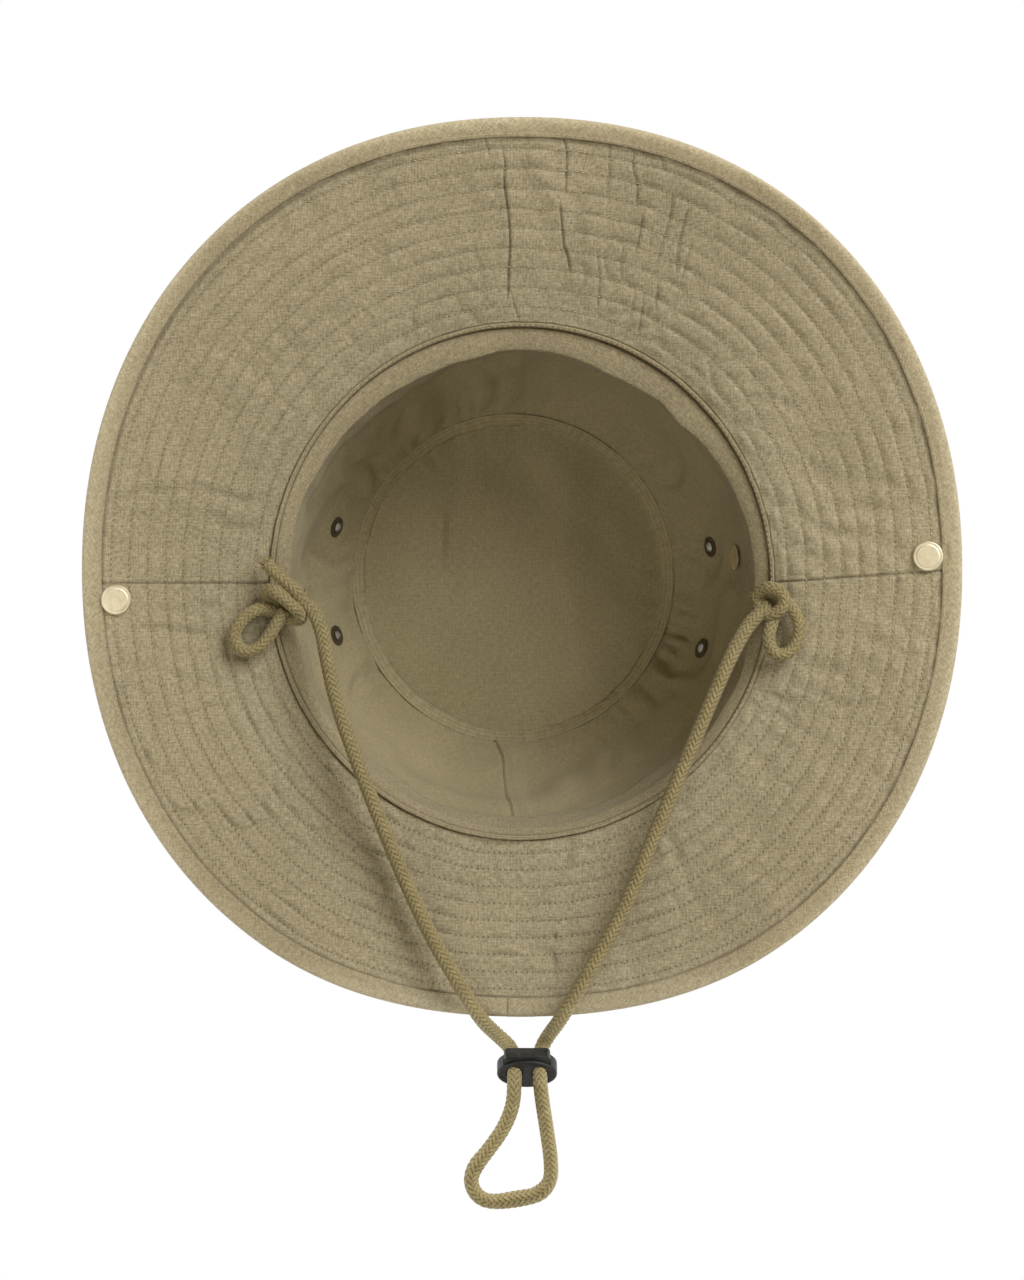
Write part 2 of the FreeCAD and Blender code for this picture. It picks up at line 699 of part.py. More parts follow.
def slot(sketch, across, radius, length):
    """Draw an upright slot from the X axis up, from formulas for its place, radius and length."""
    middle = value_of(across)
    half = value_of(radius)
    top = value_of(length)
    start = sketch.GeometryCount
    sketch.addGeometry(Part.LineSegment(V(middle + half, 0, 0), V(middle + half, top, 0)), False)
    upper = Part.Circle(V(middle, top, 0), V(0, 0, 1), half)
    sketch.addGeometry(Part.ArcOfCircle(upper, 0, math.pi), False)
    sketch.addGeometry(Part.LineSegment(V(middle - half, top, 0), V(middle - half, 0, 0)), False)
    lower = Part.Circle(V(middle, 0, 0), V(0, 0, 1), half)
    sketch.addGeometry(Part.ArcOfCircle(lower, math.pi, 2 * math.pi), False)
    right, cap, left, foot = range(start, start + 4)
    for first, first_end, second, second_end in (
            (right, 2, cap, 1), (cap, 2, left, 1), (left, 2, foot, 1), (foot, 2, right, 1)):
        sketch.addConstraint(Sketcher.Constraint("Tangent", first, first_end, second, second_end))
    sketch.addConstraint(Sketcher.Constraint("Equal", cap, foot))
    for kind, spot, formula in (
            ("DistanceX", foot, across), ("DistanceY", foot, "0"), ("DistanceY", cap, length)):
        number = sketch.addConstraint(Sketcher.Constraint(kind, -1, 1, spot, 3, value_of(formula)))
        sketch.setExpression(f"Constraints[{number}]", cell(formula))
    number = sketch.addConstraint(Sketcher.Constraint("Radius", foot, half))
    sketch.setExpression(f"Constraints[{number}]", cell(radius))
    sketch.addConstraint(Sketcher.Constraint("Vertical", right))


def hexagon(half_top, top, shoulder, half_bottom, bottom):
    """Return the corners of a block that narrows towards its lower end."""
    return (
        (f"0 - ( {half_top} )", top), (f"0 - ( {half_top} )", shoulder),
        (f"0 - ( {half_bottom} )", bottom), (half_bottom, bottom),
        (half_top, shoulder), (half_top, top))


def round_edges(body, feature, name, radius, wanted):
    """Round the edges of a body's latest feature that pass a test."""
    doc.recompute()
    names = [f"Edge{number}" for number, edge in enumerate(feature.Shape.Edges, start=1) if wanted(edge)]
    rounding = body.newObject("PartDesign::Fillet", name)
    rounding.Base = (feature, names)
    rounding.setExpression("Radius", cell(radius))


def lock():
    lock_barrel()
    lock_plunger()
    lock_spring()


def lock_barrel():
    barrel = new_body("lock_barrel")
    outline = new_sketch(barrel, "barrel_outline", "XY_Plane")
    circle_like(outline, "lock_half_width", "lock_half_height")
    block = pad(barrel, outline, "barrel_block", "2 * lock_half_thickness", True)
    round_edges(barrel, block, "barrel_rounding", "lock_rounding",
                lambda edge: isinstance(edge.Curve, Part.Ellipse))
    cavity = new_sketch(barrel, "cavity_outline", "XY_Plane")
    drop = "lock_drop - plunger_travel - lock_clearance"
    polygon(cavity, hexagon(
        "plunger_half_width + lock_clearance", "lock_half_height + 1",
        f"{drop} - plunger_bottom + plunger_taper",
        "plunger_half_width + lock_clearance - plunger_narrowing", f"{drop} - plunger_bottom"))
    pocket(barrel, cavity, "plunger_cavity", "2 * ( plunger_half_thickness + lock_clearance )")
    holes = new_sketch(barrel, "cord_hole_outlines", "XY_Plane")
    circle(holes, "hole_radius", "hole_spacing / 2", "lock_drop")
    circle(holes, "hole_radius", "0 - hole_spacing / 2", "lock_drop")
    pocket(barrel, holes, "cord_holes", "4 * lock_half_thickness")
    barrel.Placement = lock_placement(-size("lock_drop"))
    finish(barrel, "lock_barrel")


def lock_plunger():
    plunger = new_body("lock_plunger")
    stem = new_sketch(plunger, "stem_outline", "XY_Plane")
    polygon(stem, hexagon(
        "plunger_half_width", "plunger_top", "plunger_taper - plunger_bottom",
        "plunger_half_width - plunger_narrowing", "0 - plunger_bottom"))
    block = pad(plunger, stem, "stem", "2 * plunger_half_thickness", True)
    shoulder = size("plunger_top") - size("plunger_rounding")
    round_edges(plunger, block, "plunger_top_rounding", "plunger_rounding",
                lambda edge: edge.BoundBox.YMin > shoulder and edge.BoundBox.ZLength > 1)
    slots = new_sketch(plunger, "slot_outlines", "XY_Plane")
    for side in ("", "0 - "):
        slot(slots, f"{side}hole_spacing / 2", "hole_radius", "plunger_travel")
    pocket(plunger, slots, "cord_slots", "4 * plunger_half_thickness")
    bore = new_sketch(plunger, "spring_bore_outline", "XY_Plane")
    half = "spring_radius + spring_wire + lock_clearance"
    polygon(bore, (
        (f"0 - ( {half} )", "0 - spring_bore_top"), (half, "0 - spring_bore_top"),
        (half, "0 - plunger_bottom - 1"), (f"0 - ( {half} )", "0 - plunger_bottom - 1")))
    pocket(plunger, bore, "spring_bore", f"2 * ( {half} )")
    plunger.Placement = lock_placement(0)
    finish(plunger, "lock_plunger")


def lock_spring():
    inset = size("spring_wire") + size("spring_play")
    low = size("plunger_bottom") + size("plunger_travel") + size("lock_clearance") - inset
    high = size("spring_bore_top") + inset
    spring = doc.addObject("Part::Helix", "spring_line")
    spring.Height = low - high
    spring.setExpression("Radius", cell("spring_radius"))
    spring.Pitch = (low - high) / size("spring_turns")
    wire = doc.addObject("Part::Circle", "spring_wire_section")
    wire.setExpression("Radius", cell("spring_wire"))
    wire.Placement = FreeCAD.Placement(
        V(size("spring_radius"), 0, 0), FreeCAD.Rotation(V(1, 0, 0), 90))
    coil = doc.addObject("Part::Sweep", "spring_coil")
    coil.Sections = [wire]
    coil.Spine = (spring, ["Edge1"])
    coil.Solid = True
    coil.Frenet = True
    upright = FreeCAD.Placement(V(0, -low, 0), FreeCAD.Rotation(V(1, 0, 0), -90))
    coil.Placement = lock_placement(0).multiply(upright)
    finish(coil, "lock_spring")


# ---------------------------------------------------------------- build, check and write

def check():
    """Stop if anything failed, and print each sub-part's volume."""
    for item in doc.Objects:
        if "Invalid" in item.State or "Error" in item.State:
            raise SystemExit(f"{item.Name} failed: {item.State}")
    for item in finished:
        if item.Shape.isNull() or not item.Shape.isValid():
            raise SystemExit(f"{item.Label} has no valid shape")
        print(item.Label, len(item.Shape.Solids), "solid", round(item.Shape.Volume, 1), "mm3")


def write():
    os.makedirs("parts", exist_ok=True)
    for item in finished:
        item.Shape.exportStep(f"parts/{item.Label}.step")


crown()
brim_plies()
brim_binding()
snaps()
eyelets()
cord()
lock()
doc.recompute()
check()
write()
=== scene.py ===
import math

import bmesh
import bpy
import numpy as np
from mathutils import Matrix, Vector

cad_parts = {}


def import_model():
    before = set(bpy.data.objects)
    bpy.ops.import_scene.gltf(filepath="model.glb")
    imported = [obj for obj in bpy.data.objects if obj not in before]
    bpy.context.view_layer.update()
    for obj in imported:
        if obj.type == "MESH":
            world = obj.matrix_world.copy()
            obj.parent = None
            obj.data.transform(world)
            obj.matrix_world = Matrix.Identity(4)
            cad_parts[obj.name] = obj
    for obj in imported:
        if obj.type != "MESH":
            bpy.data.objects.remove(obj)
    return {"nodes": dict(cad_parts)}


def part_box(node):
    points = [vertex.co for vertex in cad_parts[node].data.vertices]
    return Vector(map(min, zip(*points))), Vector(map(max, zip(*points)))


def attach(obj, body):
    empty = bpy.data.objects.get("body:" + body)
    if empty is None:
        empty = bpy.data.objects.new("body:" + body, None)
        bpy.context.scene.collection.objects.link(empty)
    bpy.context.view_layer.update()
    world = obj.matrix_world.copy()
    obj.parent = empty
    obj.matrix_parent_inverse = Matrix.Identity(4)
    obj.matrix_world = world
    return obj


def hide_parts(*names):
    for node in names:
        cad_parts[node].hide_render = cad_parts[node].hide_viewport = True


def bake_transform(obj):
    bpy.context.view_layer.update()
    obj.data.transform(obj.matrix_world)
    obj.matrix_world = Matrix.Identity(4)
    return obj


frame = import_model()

MM = 0.001
TURN = 2 * math.pi
# The height of the seam between brim and crown, and where the crown's middle lies on Y, in millimetres.
SEAM_HEIGHT = 16.0
CROWN_CENTRE = 4.3
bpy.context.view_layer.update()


# ---------------------------------------------------------------- small tools

def smooth_noise(x, y, seed, wrap=None):
    """Return smooth lattice noise from -1 to 1, one cell per unit; wrap repeats it along x."""
    x = np.asarray(x, float)
    y = np.asarray(y, float)
    column = np.floor(x).astype(np.int64)
    line = np.floor(y).astype(np.int64)
    along = x - column
    up = y - line

    def corner(i, j):
        if wrap:
            i = i % wrap
        mix = (i * 374761393 + j * 668265263 + seed * 974634777) & 0x7FFFFFFF
        mix = ((mix ^ (mix >> 13)) * 1274126177) & 0x7FFFFFFF
        return ((mix ^ (mix >> 16)) & 0xFFFF) / 32767.5 - 1

    along = along * along * (3 - 2 * along)
    up = up * up * (3 - 2 * up)
    low = corner(column, line) * (1 - along) + corner(column + 1, line) * along
    high = corner(column, line + 1) * (1 - along) + corner(column + 1, line + 1) * along
    return low * (1 - up) + high * up


def ring_noise(around, cells, y, seed, shift=0.0):
    """Return smooth noise that closes on itself after one turn; around is the share of the turn."""
    return smooth_noise(around * cells + shift, y, seed, wrap=cells)


def smooth_step(value, low, high):
    """Rise smoothly from 0 at low to 1 at high."""
    share = np.clip((value - low) / (high - low), 0, 1)
    return share * share * (3 - 2 * share)


def bump(distance, width):
    """Return a smooth hill of height 1 over a distance of 0."""
    return np.exp(-(distance / width) ** 2)


def unit(vectors):
    """Scale vectors to length 1."""
    return vectors / np.maximum(np.linalg.norm(vectors, axis=-1, keepdims=True), 1e-12)


def mesh_grid(first, second):
    return np.meshgrid(first, second, indexing="ij")


def lengths_along(line):
    """Return how far along a line each of its points lies."""
    return np.concatenate([[0], np.cumsum(np.linalg.norm(np.diff(line, axis=0), axis=1))])


def spread(places, steps):
    """Return places spaced so that each step of the old ones counts for its own share of a new step."""
    count = np.concatenate([[0], np.cumsum(steps)])
    return np.interp(np.linspace(0, count[-1], int(round(count[-1])) + 1), count, places)


def ring_point(t, half_x, half_y, z):
    """Return points of an oval round the crown's middle, in millimetres."""
    t, half_x, half_y, z = np.broadcast_arrays(t, half_x, half_y, z)
    return np.stack([half_x * np.sin(t), CROWN_CENTRE + half_y * np.cos(t), z], -1)


def outward_at(t, z):
    return np.stack([np.sin(t), np.cos(t), np.full_like(t, z)], -1)


def centre_of(node):
    """Return the middle of a CAD node's box, in millimetres."""
    low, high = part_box(node)
    return (np.array(low) + np.array(high)) / 2 / MM


def add_object(name, data, place=(0, 0, 0), turn=(0, 0, 0)):
    item = bpy.data.objects.new(name, data)
    item.location = place
    item.rotation_euler = turn
    bpy.context.scene.collection.objects.link(item)
    return item


def add_mesh(name, points, faces, material, uv=None, painted_shade=None, rows=None):
    """Make a smooth mesh object.

    uv gives one pair per point, in metres of cloth, the next list gives the painted shade of each point,
    most deep in a fold, and rows gives its place along and across the rows of stitching.
    """
    mesh = bpy.data.meshes.new(name)
    mesh.from_pydata(np.asarray(points).reshape(-1, 3).tolist(), [], faces)
    mesh.validate()
    mesh.polygons.foreach_set("use_smooth", [True] * len(mesh.polygons))
    corners = np.zeros(len(mesh.loops), np.int32)
    mesh.loops.foreach_get("vertex_index", corners)
    for layer_name, pairs in (("cloth", uv), ("rows", rows)):
        if pairs is not None:
            layer = mesh.uv_layers.new(name=layer_name)
            layer.data.foreach_set("uv", np.asarray(pairs, np.float32).reshape(-1, 2)[corners].ravel())
    # Painted shade per point, stored for the material to darken folds and gaps with.
    if painted_shade is not None:
        layer = mesh.attributes.new("painted_shade", "FLOAT", "POINT")
        layer.data.foreach_set("value", np.clip(np.asarray(painted_shade, np.float32).ravel(), 0, 1))
    mesh.materials.append(material)
    return add_object(name, mesh)


def orient(item):
    """Turn every face of a closed mesh to the outside."""
    solid = bmesh.new()
    solid.from_mesh(item.data)
    bmesh.ops.recalc_face_normals(solid, faces=solid.faces)
    solid.to_mesh(item.data)
    solid.free()
    return item


def grid_faces(rows, columns, wrap_rows=False, wrap_columns=False, start=0):
    """Return the quads of a grid of points, stored row by row."""
    row = np.arange(rows if wrap_rows else rows - 1)
    column = np.arange(columns if wrap_columns else columns - 1)
    row, column = np.meshgrid(row, column, indexing="ij")
    next_row = (row + 1) % rows
    next_column = (column + 1) % columns
    quads = np.stack([row * columns + column, row * columns + next_column,
                      next_row * columns + next_column, next_row * columns + column], -1)
    return (quads.reshape(-1, 4) + start).tolist()


# ---------------------------------------------------------------- materials

def srgb(red, green, blue):
    """Turn a colour as seen, 0 to 255, into Blender's linear one."""
    shares = [channel / 255 for channel in (red, green, blue)]
    linear = [c / 12.92 if c <= 0.04045 else ((c + 0.055) / 1.055) ** 2.4 for c in shares]
    return (*linear, 1)


class Nodes:
    """A short way to write a material's nodes."""

    def __init__(self, name):
        self.material = bpy.data.materials.new(name)
        self.material.use_nodes = True
        self.tree = self.material.node_tree
        self.shader = self.tree.nodes["Principled BSDF"]

    def node(self, kind, inputs=None, **settings):
        item = self.tree.nodes.new("ShaderNode" + kind)
        for name, value in settings.items():
            setattr(item, name, value)
        for name, value in (inputs or {}).items():
            self.feed(item.inputs[name], value)
        return item

    def feed(self, socket, value):
        if isinstance(value, bpy.types.NodeSocket):
            self.tree.links.new(value, socket)
        else:
            socket.default_value = value

    def shade(self, inputs):
        """Set the shader's own inputs."""
        for name, value in inputs.items():
            self.feed(self.shader.inputs[name], value)

    def math(self, operation, first, second=0.0):
        return self.node("Math", {0: first, 1: second}, operation=operation).outputs[0]

    def times(self, first, second):
        return self.math("MULTIPLY", first, second)

    def plus(self, first, second):
        return self.math("ADD", first, second)

    def noise(self, vector, scale, detail, roughness):
        return self.node("TexNoise", {"Vector": vector, "Scale": scale, "Detail": detail,
                                      "Roughness": roughness}).outputs["Fac"]

    def stretched(self, vector, scale, turn=0.0):
        item = self.node("Mapping", {"Vector": vector, "Scale": scale, "Rotation": (0, 0, turn)})
        return item.outputs["Vector"]

    def mix(self, share, first, second):
        return self.node("Mix", {0: share, 6: first, 7: second}, data_type="RGBA").outputs[2]

    def limit(self, value, low, high, to_low=0.0, to_high=1.0):
        return self.node("MapRange", {"Value": value, "From Min": low, "From Max": high,
                                      "To Min": to_low, "To Max": to_high}).outputs[0]

    def layer(self, name):
        return self.node("UVMap", uv_map=name).outputs[0]

    def parts(self, vector):
        """Return the x and y of a vector."""
        return self.node("SeparateXYZ", {"Vector": vector}).outputs[:2]

    def place(self):
        return self.node("TexCoord").outputs["Object"]

    def worn_edge(self):
        return self.node("NewGeometry").outputs["Pointiness"]

    def with_painted_shade(self, colour, shadow):
        """Paint shade into a colour in folds and gaps, as much as each point's painted-shade attribute asks.
        """
        painted_shade = self.node("Attribute", attribute_name="painted_shade").outputs["Fac"]
        return self.mix(painted_shade, colour, shadow)

    def raise_by(self, height, distance, strength):
        item = self.node("Bump", {"Height": height, "Distance": distance, "Strength": strength})
        self.shade({"Normal": item.outputs["Normal"]})


THREAD = 0.52 * MM


def needle_hole_shade(nodes):
    """Return the painted shade of the needle holes between stitches, and of the groove where the cloth is
    drawn in along each row.
    """
    along, across = nodes.parts(nodes.layer("rows"))
    from_row, from_hole = nodes.math("PINGPONG", across, 0.5), nodes.math("PINGPONG", along, 0.5)
    hole_shade = nodes.times(nodes.limit(from_row, 0.03, 0.085, 1, 0), nodes.limit(from_hole, 0.08, 0.2, 1, 0))
    groove_shade = nodes.limit(from_row, 0.02, 0.11, 0.17, 0)
    stitched = nodes.times(nodes.limit(across, -0.5, -0.3), nodes.limit(across, 8.3, 8.5, 1, 0))
    return nodes.times(nodes.math("MAXIMUM", nodes.times(hole_shade, 0.58), groove_shade), stitched)


def cloth_material(name, light, dark, turn=0.0, fleck=1.0, thread=THREAD, rows=False, shaded=False):
    """Plain-woven cotton: crossing threads, uneven yarn with light and dark flecks, and faint wear; shaded
    adds painted shade in folds, and rows adds painted shade in the needle holes and along the stitched rows.
    """
    nodes = Nodes(name)
    cloth = nodes.layer("cloth")
    threads = nodes.stretched(cloth, (1 / thread, 1 / thread, 1), turn)
    across, along = nodes.parts(threads)
    over = nodes.math("PINGPONG", nodes.plus(nodes.math("FLOOR", across), nodes.math("FLOOR", along)), 1.0)
    warp, weft = (nodes.math("ABSOLUTE", nodes.math("SINE", nodes.times(way, math.pi)))
                  for way in (across, along))
    weave = nodes.plus(nodes.times(warp, over), nodes.times(weft, nodes.math("SUBTRACT", 1.0, over)))
    warp_yarn, weft_yarn = (nodes.noise(nodes.stretched(threads, scale), 1.0, 3.0, 0.6)
                            for scale in ((0.9, 0.22, 1), (0.22, 0.9, 1)))
    yarn = nodes.times(nodes.plus(warp_yarn, weft_yarn), 0.5)
    fine = nodes.noise(threads, 0.55, 2.0, 0.7)
    worn = nodes.noise(cloth, 14.0, 4.0, 0.55)
    tone = nodes.plus(nodes.limit(yarn, 0.38, 0.62, 0, 0.50 * fleck),
                      nodes.limit(fine, 0.32, 0.68, 0, 0.18 * fleck))
    tone = nodes.plus(nodes.plus(tone, nodes.times(weave, 0.42)), nodes.limit(worn, 0.3, 0.7, -0.07, 0.06))
    colour = nodes.mix(nodes.limit(tone, 0.05, 1.1), dark, light)
    if shaded:
        # Painted shade in folds and creases, from the mesh's per-point attribute.
        colour = nodes.with_painted_shade(colour, srgb(58, 50, 32))
    if rows:
        # Painted shade in the needle holes and along the stitched rows.
        colour = nodes.mix(needle_hole_shade(nodes), colour, srgb(62, 54, 36))
    nodes.shade({"Base Color": colour, "Roughness": 0.92, "Specular IOR Level": 0.18, "Sheen Weight": 0.12,
                 "Sheen Roughness": 0.5})
    nodes.raise_by(nodes.plus(nodes.times(weave, 0.6), nodes.times(yarn, 0.8)), 0.22 * MM, 0.55)
    return nodes.material


def yarn_material(name, light, dark, shaded=False):
    """Braiding yarn or thread: fine fibres along it; with shaded set, painted shade makes it lighter on its
    crown and darker where it dips.
    """
    nodes = Nodes(name)
    fibre = nodes.noise(nodes.stretched(nodes.layer("cloth"), (400, 5200, 1), 0.18), 1.0, 3.0, 0.6)
    patch = nodes.noise(nodes.place(), 260.0, 3.0, 0.6)
    tone = nodes.plus(nodes.limit(fibre, 0.25, 0.75, 0, 0.6), nodes.limit(patch, 0.25, 0.75, 0, 0.4))
    colour = nodes.mix(tone, dark, light)
    if shaded:
        # Painted shade where the yarn dips and on its flanks, from the mesh's per-point attribute.
        colour = nodes.with_painted_shade(colour, srgb(60, 50, 28))
    nodes.shade({"Base Color": colour, "Roughness": 0.7, "Specular IOR Level": 0.3, "Sheen Weight": 0.2})
    nodes.raise_by(fibre, 0.06 * MM, 0.8)
    return nodes.material


def metal_material(name, bright, dull, rough, grain):
    """Plated sheet metal: a satin grain, darker tarnish in patches and on the edges."""
    nodes = Nodes(name)
    place = nodes.place()
    patch = nodes.noise(place, 420.0, 5.0, 0.65)
    speck = nodes.noise(place, 2600.0, 2.0, 0.5)
    tarnish = nodes.plus(nodes.limit(patch, 0.45, 0.75, 0, 0.35),
                         nodes.limit(nodes.worn_edge(), 0.42, 0.5, 0.5, 0))
    nodes.shade({"Base Color": nodes.mix(tarnish, bright, dull), "Metallic": 1.0,
                 "Roughness": nodes.limit(speck, 0.3, 0.7, rough - 0.07, rough + 0.1)})
    nodes.raise_by(speck, grain, 0.5)
    return nodes.material


def plastic_material(name, colour, worn):
    """Moulded plastic: a fine spark-eroded grain, slightly paler on rubbed edges."""
    nodes = Nodes(name)
    place = nodes.place()
    grain = nodes.noise(place, 3200.0, 2.0, 0.6)
    scuff = nodes.noise(place, 300.0, 6.0, 0.7)
    rub = nodes.times(nodes.limit(nodes.worn_edge(), 0.5, 0.62), nodes.limit(scuff, 0.35, 0.65))
    nodes.shade({"Base Color": nodes.mix(rub, colour, worn),
                 "Roughness": nodes.limit(scuff, 0.3, 0.7, 0.30, 0.42)})
    nodes.raise_by(grain, 0.03 * MM, 0.2)
    return nodes.material


# The brim's cloth carries painted shade in its creases, along the binding and in its stitch rows.
brim_cloth = cloth_material("brim_cloth", srgb(214, 202, 171), srgb(108, 97, 68), rows=True, shaded=True)
crown_cloth = cloth_material("crown_cloth", srgb(216, 203, 166), srgb(136, 124, 90), fleck=0.6, shaded=True)
binding_cloth = cloth_material("binding_cloth", srgb(210, 197, 166), srgb(120, 108, 77), turn=math.pi / 4)
band_cloth = cloth_material("band_cloth", srgb(208, 194, 160), srgb(112, 100, 70))
webbing = cloth_material("webbing", srgb(176, 162, 126), srgb(104, 93, 66), thread=0.8 * MM)
sewing_thread = yarn_material("sewing_thread", srgb(206, 193, 160), srgb(160, 147, 114))
# The cord's yarn takes painted shade from the braid's per-point attribute.
cord_yarn = yarn_material("cord_yarn", srgb(196, 182, 136), srgb(146, 131, 88), shaded=True)
brass = metal_material("satin_brass", srgb(246, 237, 212), srgb(176, 156, 116), 0.5, 0.03 * MM)
eyelet_brass = metal_material("dark_eyelet", srgb(132, 126, 116), srgb(34, 30, 24), 0.3, 0.03 * MM)
spring_steel = metal_material("spring_steel", srgb(190, 190, 192), srgb(90, 90, 92), 0.25, 0.02 * MM)
black_plastic = plastic_material("black_plastic", srgb(23, 23, 24), srgb(58, 58, 57))


# ---------------------------------------------------------------- camera, light and floor

CAMERA_DISTANCE = 1.0
CAMERA_X = -3.6 * MM
CAMERA_SHIFT = -0.0460
LENS, SENSOR = 78.05, 36
FLOOR_HALF = 6.0
# Name, place, what it is aimed at, width and power of each lamp.
LAMPS = (
    ("key_below", (0.85, -0.9, -0.95), (0, 0, 0.03), 1.1, 20),
    ("fill_below", (-0.3, 0.5, -1.1), (0, 0, 0.06), 1.1, 4),
    ("key_above", (-0.5, -0.7, 1.3), (0, 0, 0.05), 0.7, 8),
    ("fill_above", (0.9, 0.6, 0.9), (0, 0, 0.05), 0.9, 3),
)


def camera():
    data = bpy.data.cameras.new("camera")
    data.lens = LENS
    data.sensor_width = SENSOR
    data.shift_y = CAMERA_SHIFT
    data.clip_start = 0.01
    place = (CAMERA_X, CROWN_CENTRE * MM, SEAM_HEIGHT * MM - CAMERA_DISTANCE)
    bpy.context.scene.camera = add_object("camera", data, place, (math.pi, 0, 0))


def lamps():
    for name, place, aim, width, power in LAMPS:
        data = bpy.data.lights.new(name, "AREA")
        data.shape = "DISK"
        data.size = width
        data.energy = power
        turn = Vector(np.array(aim) - np.array(place)).to_track_quat("-Z", "Y").to_euler()
        add_object(name, data, place, turn).visible_camera = False


def floor():
    """A pale floor that is clear from underneath and lets the lights below it through."""
    nodes = Nodes("floor")
    nodes.shade({"Base Color": (0.86, 0.86, 0.85, 1), "Roughness": 0.8})
    behind = nodes.node("NewGeometry").outputs["Backfacing"]
    shadow = nodes.node("LightPath").outputs["Is Shadow Ray"]
    mix = nodes.node("MixShader", {0: nodes.math("MAXIMUM", behind, shadow), 1: nodes.shader.outputs[0],
                                   2: nodes.node("BsdfTransparent").outputs[0]})
    nodes.feed(nodes.tree.nodes["Material Output"].inputs["Surface"], mix.outputs[0])
    corners = [(x * FLOOR_HALF, y * FLOOR_HALF, 0) for x, y in ((-1, -1), (1, -1), (1, 1), (-1, 1))]
    item = add_mesh("floor", corners, [[0, 1, 2, 3]], nodes.material)
    item.location.z = -0.2 * MM


def world():
    """Light the hat evenly from a white surrounding that looks a little brighter than it lights."""
    scene_world = bpy.data.worlds.new("studio")
    bpy.context.scene.world = scene_world
    scene_world.use_nodes = True
    tree = scene_world.node_tree
    background = tree.nodes["Background"]
    background.inputs["Color"].default_value = (1, 1, 1, 1)
    seen = tree.nodes.new("ShaderNodeLightPath").outputs["Is Camera Ray"]
    strength = tree.nodes.new("ShaderNodeMapRange")
    tree.links.new(seen, strength.inputs["Value"])
    strength.inputs["To Min"].default_value = 0.80
    strength.inputs["To Max"].default_value = 1.0
    tree.links.new(strength.outputs[0], background.inputs["Strength"])


bpy.context.scene.view_settings.view_transform = "Standard"
camera()
world()
floor()
lamps()


# ---------------------------------------------------------------- braided cord

CORD = 5.4 * MM
# Height of the cord's middle where it lies on the floor, and X of the lock's two holes, in millimetres.
FLOOR = 2.75
LEFT_HOLE = -2.7
RIGHT_HOLE = 6.3
CORD_ROUTE = (
    (-82.0, 10.0, 10.0), (-76.0, 12.5, 8.8), (-71.6, 20.5, 5.2), (-69.3, 33.0, FLOOR),
    (-65.8, 49.0, FLOOR), (-55.4, 77.5, FLOOR), (-36.0, 124.5, FLOOR), (-22.6, 147.6, FLOOR),
    (-14.6, 161.2, 7.4), (-8.8, 168.0, 16.8), (LEFT_HOLE, 173.75, 17.1), (LEFT_HOLE, 182.04, FLOOR),
    (-3.1, 190.6, FLOOR), (-6.4, 198.8, FLOOR), (-12.0, 206.6, FLOOR), (-17.0, 212.6, FLOOR),
    (-18.6, 218.2, FLOOR), (-15.6, 223.6, FLOOR), (-10.2, 225.2, FLOOR), (-1.4, 223.9, FLOOR),
    (5.8, 222.6, FLOOR), (10.3, 217.9, FLOOR), (10.3, 210.0, FLOOR), (8.8, 199.6, FLOOR),
    (7.2, 189.6, FLOOR), (RIGHT_HOLE, 182.04, FLOOR), (RIGHT_HOLE, 173.75, 17.1), (9.6, 168.0, 16.8),
    (13.6, 161.2, 7.4), (20.3, 149.2, FLOOR), (26.6, 138.4, FLOOR), (37.2, 119.5, FLOOR),
    (46.7, 95.0, FLOOR), (63.6, 55.5, FLOOR), (71.6, 36.5, FLOOR),
    (77.2, 25.5, 5.0), (82.5, 17.6, 8.8), (88.5, 13.0, 10.0))
# Places where the cord's braid is pushed open: share of its length, extra radius and half length.
CORD_BULGES = ((0.462, 0.25 * MM, 4 * MM), (0.512, 0.35 * MM, 6 * MM), (0.53, 0.25 * MM, 3 * MM))
CORD_PLUMP = 0.04 * MM
STRANDS = 8
BRAID_PITCH = 16.5 * MM
BRAID_STEP = 0.6 * MM
YARN_HALF_WIDTH = 0.66 * MM
YARN_HALF_HEIGHT = 0.46 * MM
YARN_DIP = 0.34 * MM
YARN_SIDES = 6
CORE_SHARE = 0.66
CORE_SIDES = 8


def route_points(name, points):
    """Read the points of the smooth line whose control points are a route in millimetres."""
    curve = bpy.data.curves.new(name, "CURVE")
    curve.dimensions = "3D"
    curve.resolution_u = 16
    spline = curve.splines.new("NURBS")
    spline.points.add(len(points) - 1)
    for spot, point in zip(spline.points, points):
        spot.co = (point[0] * MM, point[1] * MM, point[2] * MM, 1)
    spline.order_u = 3
    spline.use_endpoint_u = True
    item = add_object(name, curve)
    bpy.context.view_layer.update()
    mesh = bpy.data.meshes.new_from_object(item)
    line = np.array([vertex.co for vertex in mesh.vertices])
    bpy.data.meshes.remove(mesh)
    bpy.data.objects.remove(item)
    bpy.data.curves.remove(curve)
    return line


def resample(line, step):
    """Return evenly spaced points along a line, and its length."""
    along = lengths_along(line)
    count = max(int(round(along[-1] / step)), 2)
    even = np.linspace(0, along[-1], count + 1)
    return np.stack([np.interp(even, along, line[:, axis]) for axis in range(3)], -1), along[-1]


def carried_frames(line):
    """Return two side directions that turn as little as they can along a line."""
    tangent = unit(np.gradient(line, axis=0))
    side = np.zeros_like(line)
    start = np.cross(tangent[0], (0.0, 0.0, 1.0))
    side[0] = start / np.linalg.norm(start)
    for index in range(1, len(line)):
        carried = side[index - 1] - tangent[index] * np.dot(side[index - 1], tangent[index])
        side[index] = carried / np.linalg.norm(carried)
    return side, np.cross(tangent, side)


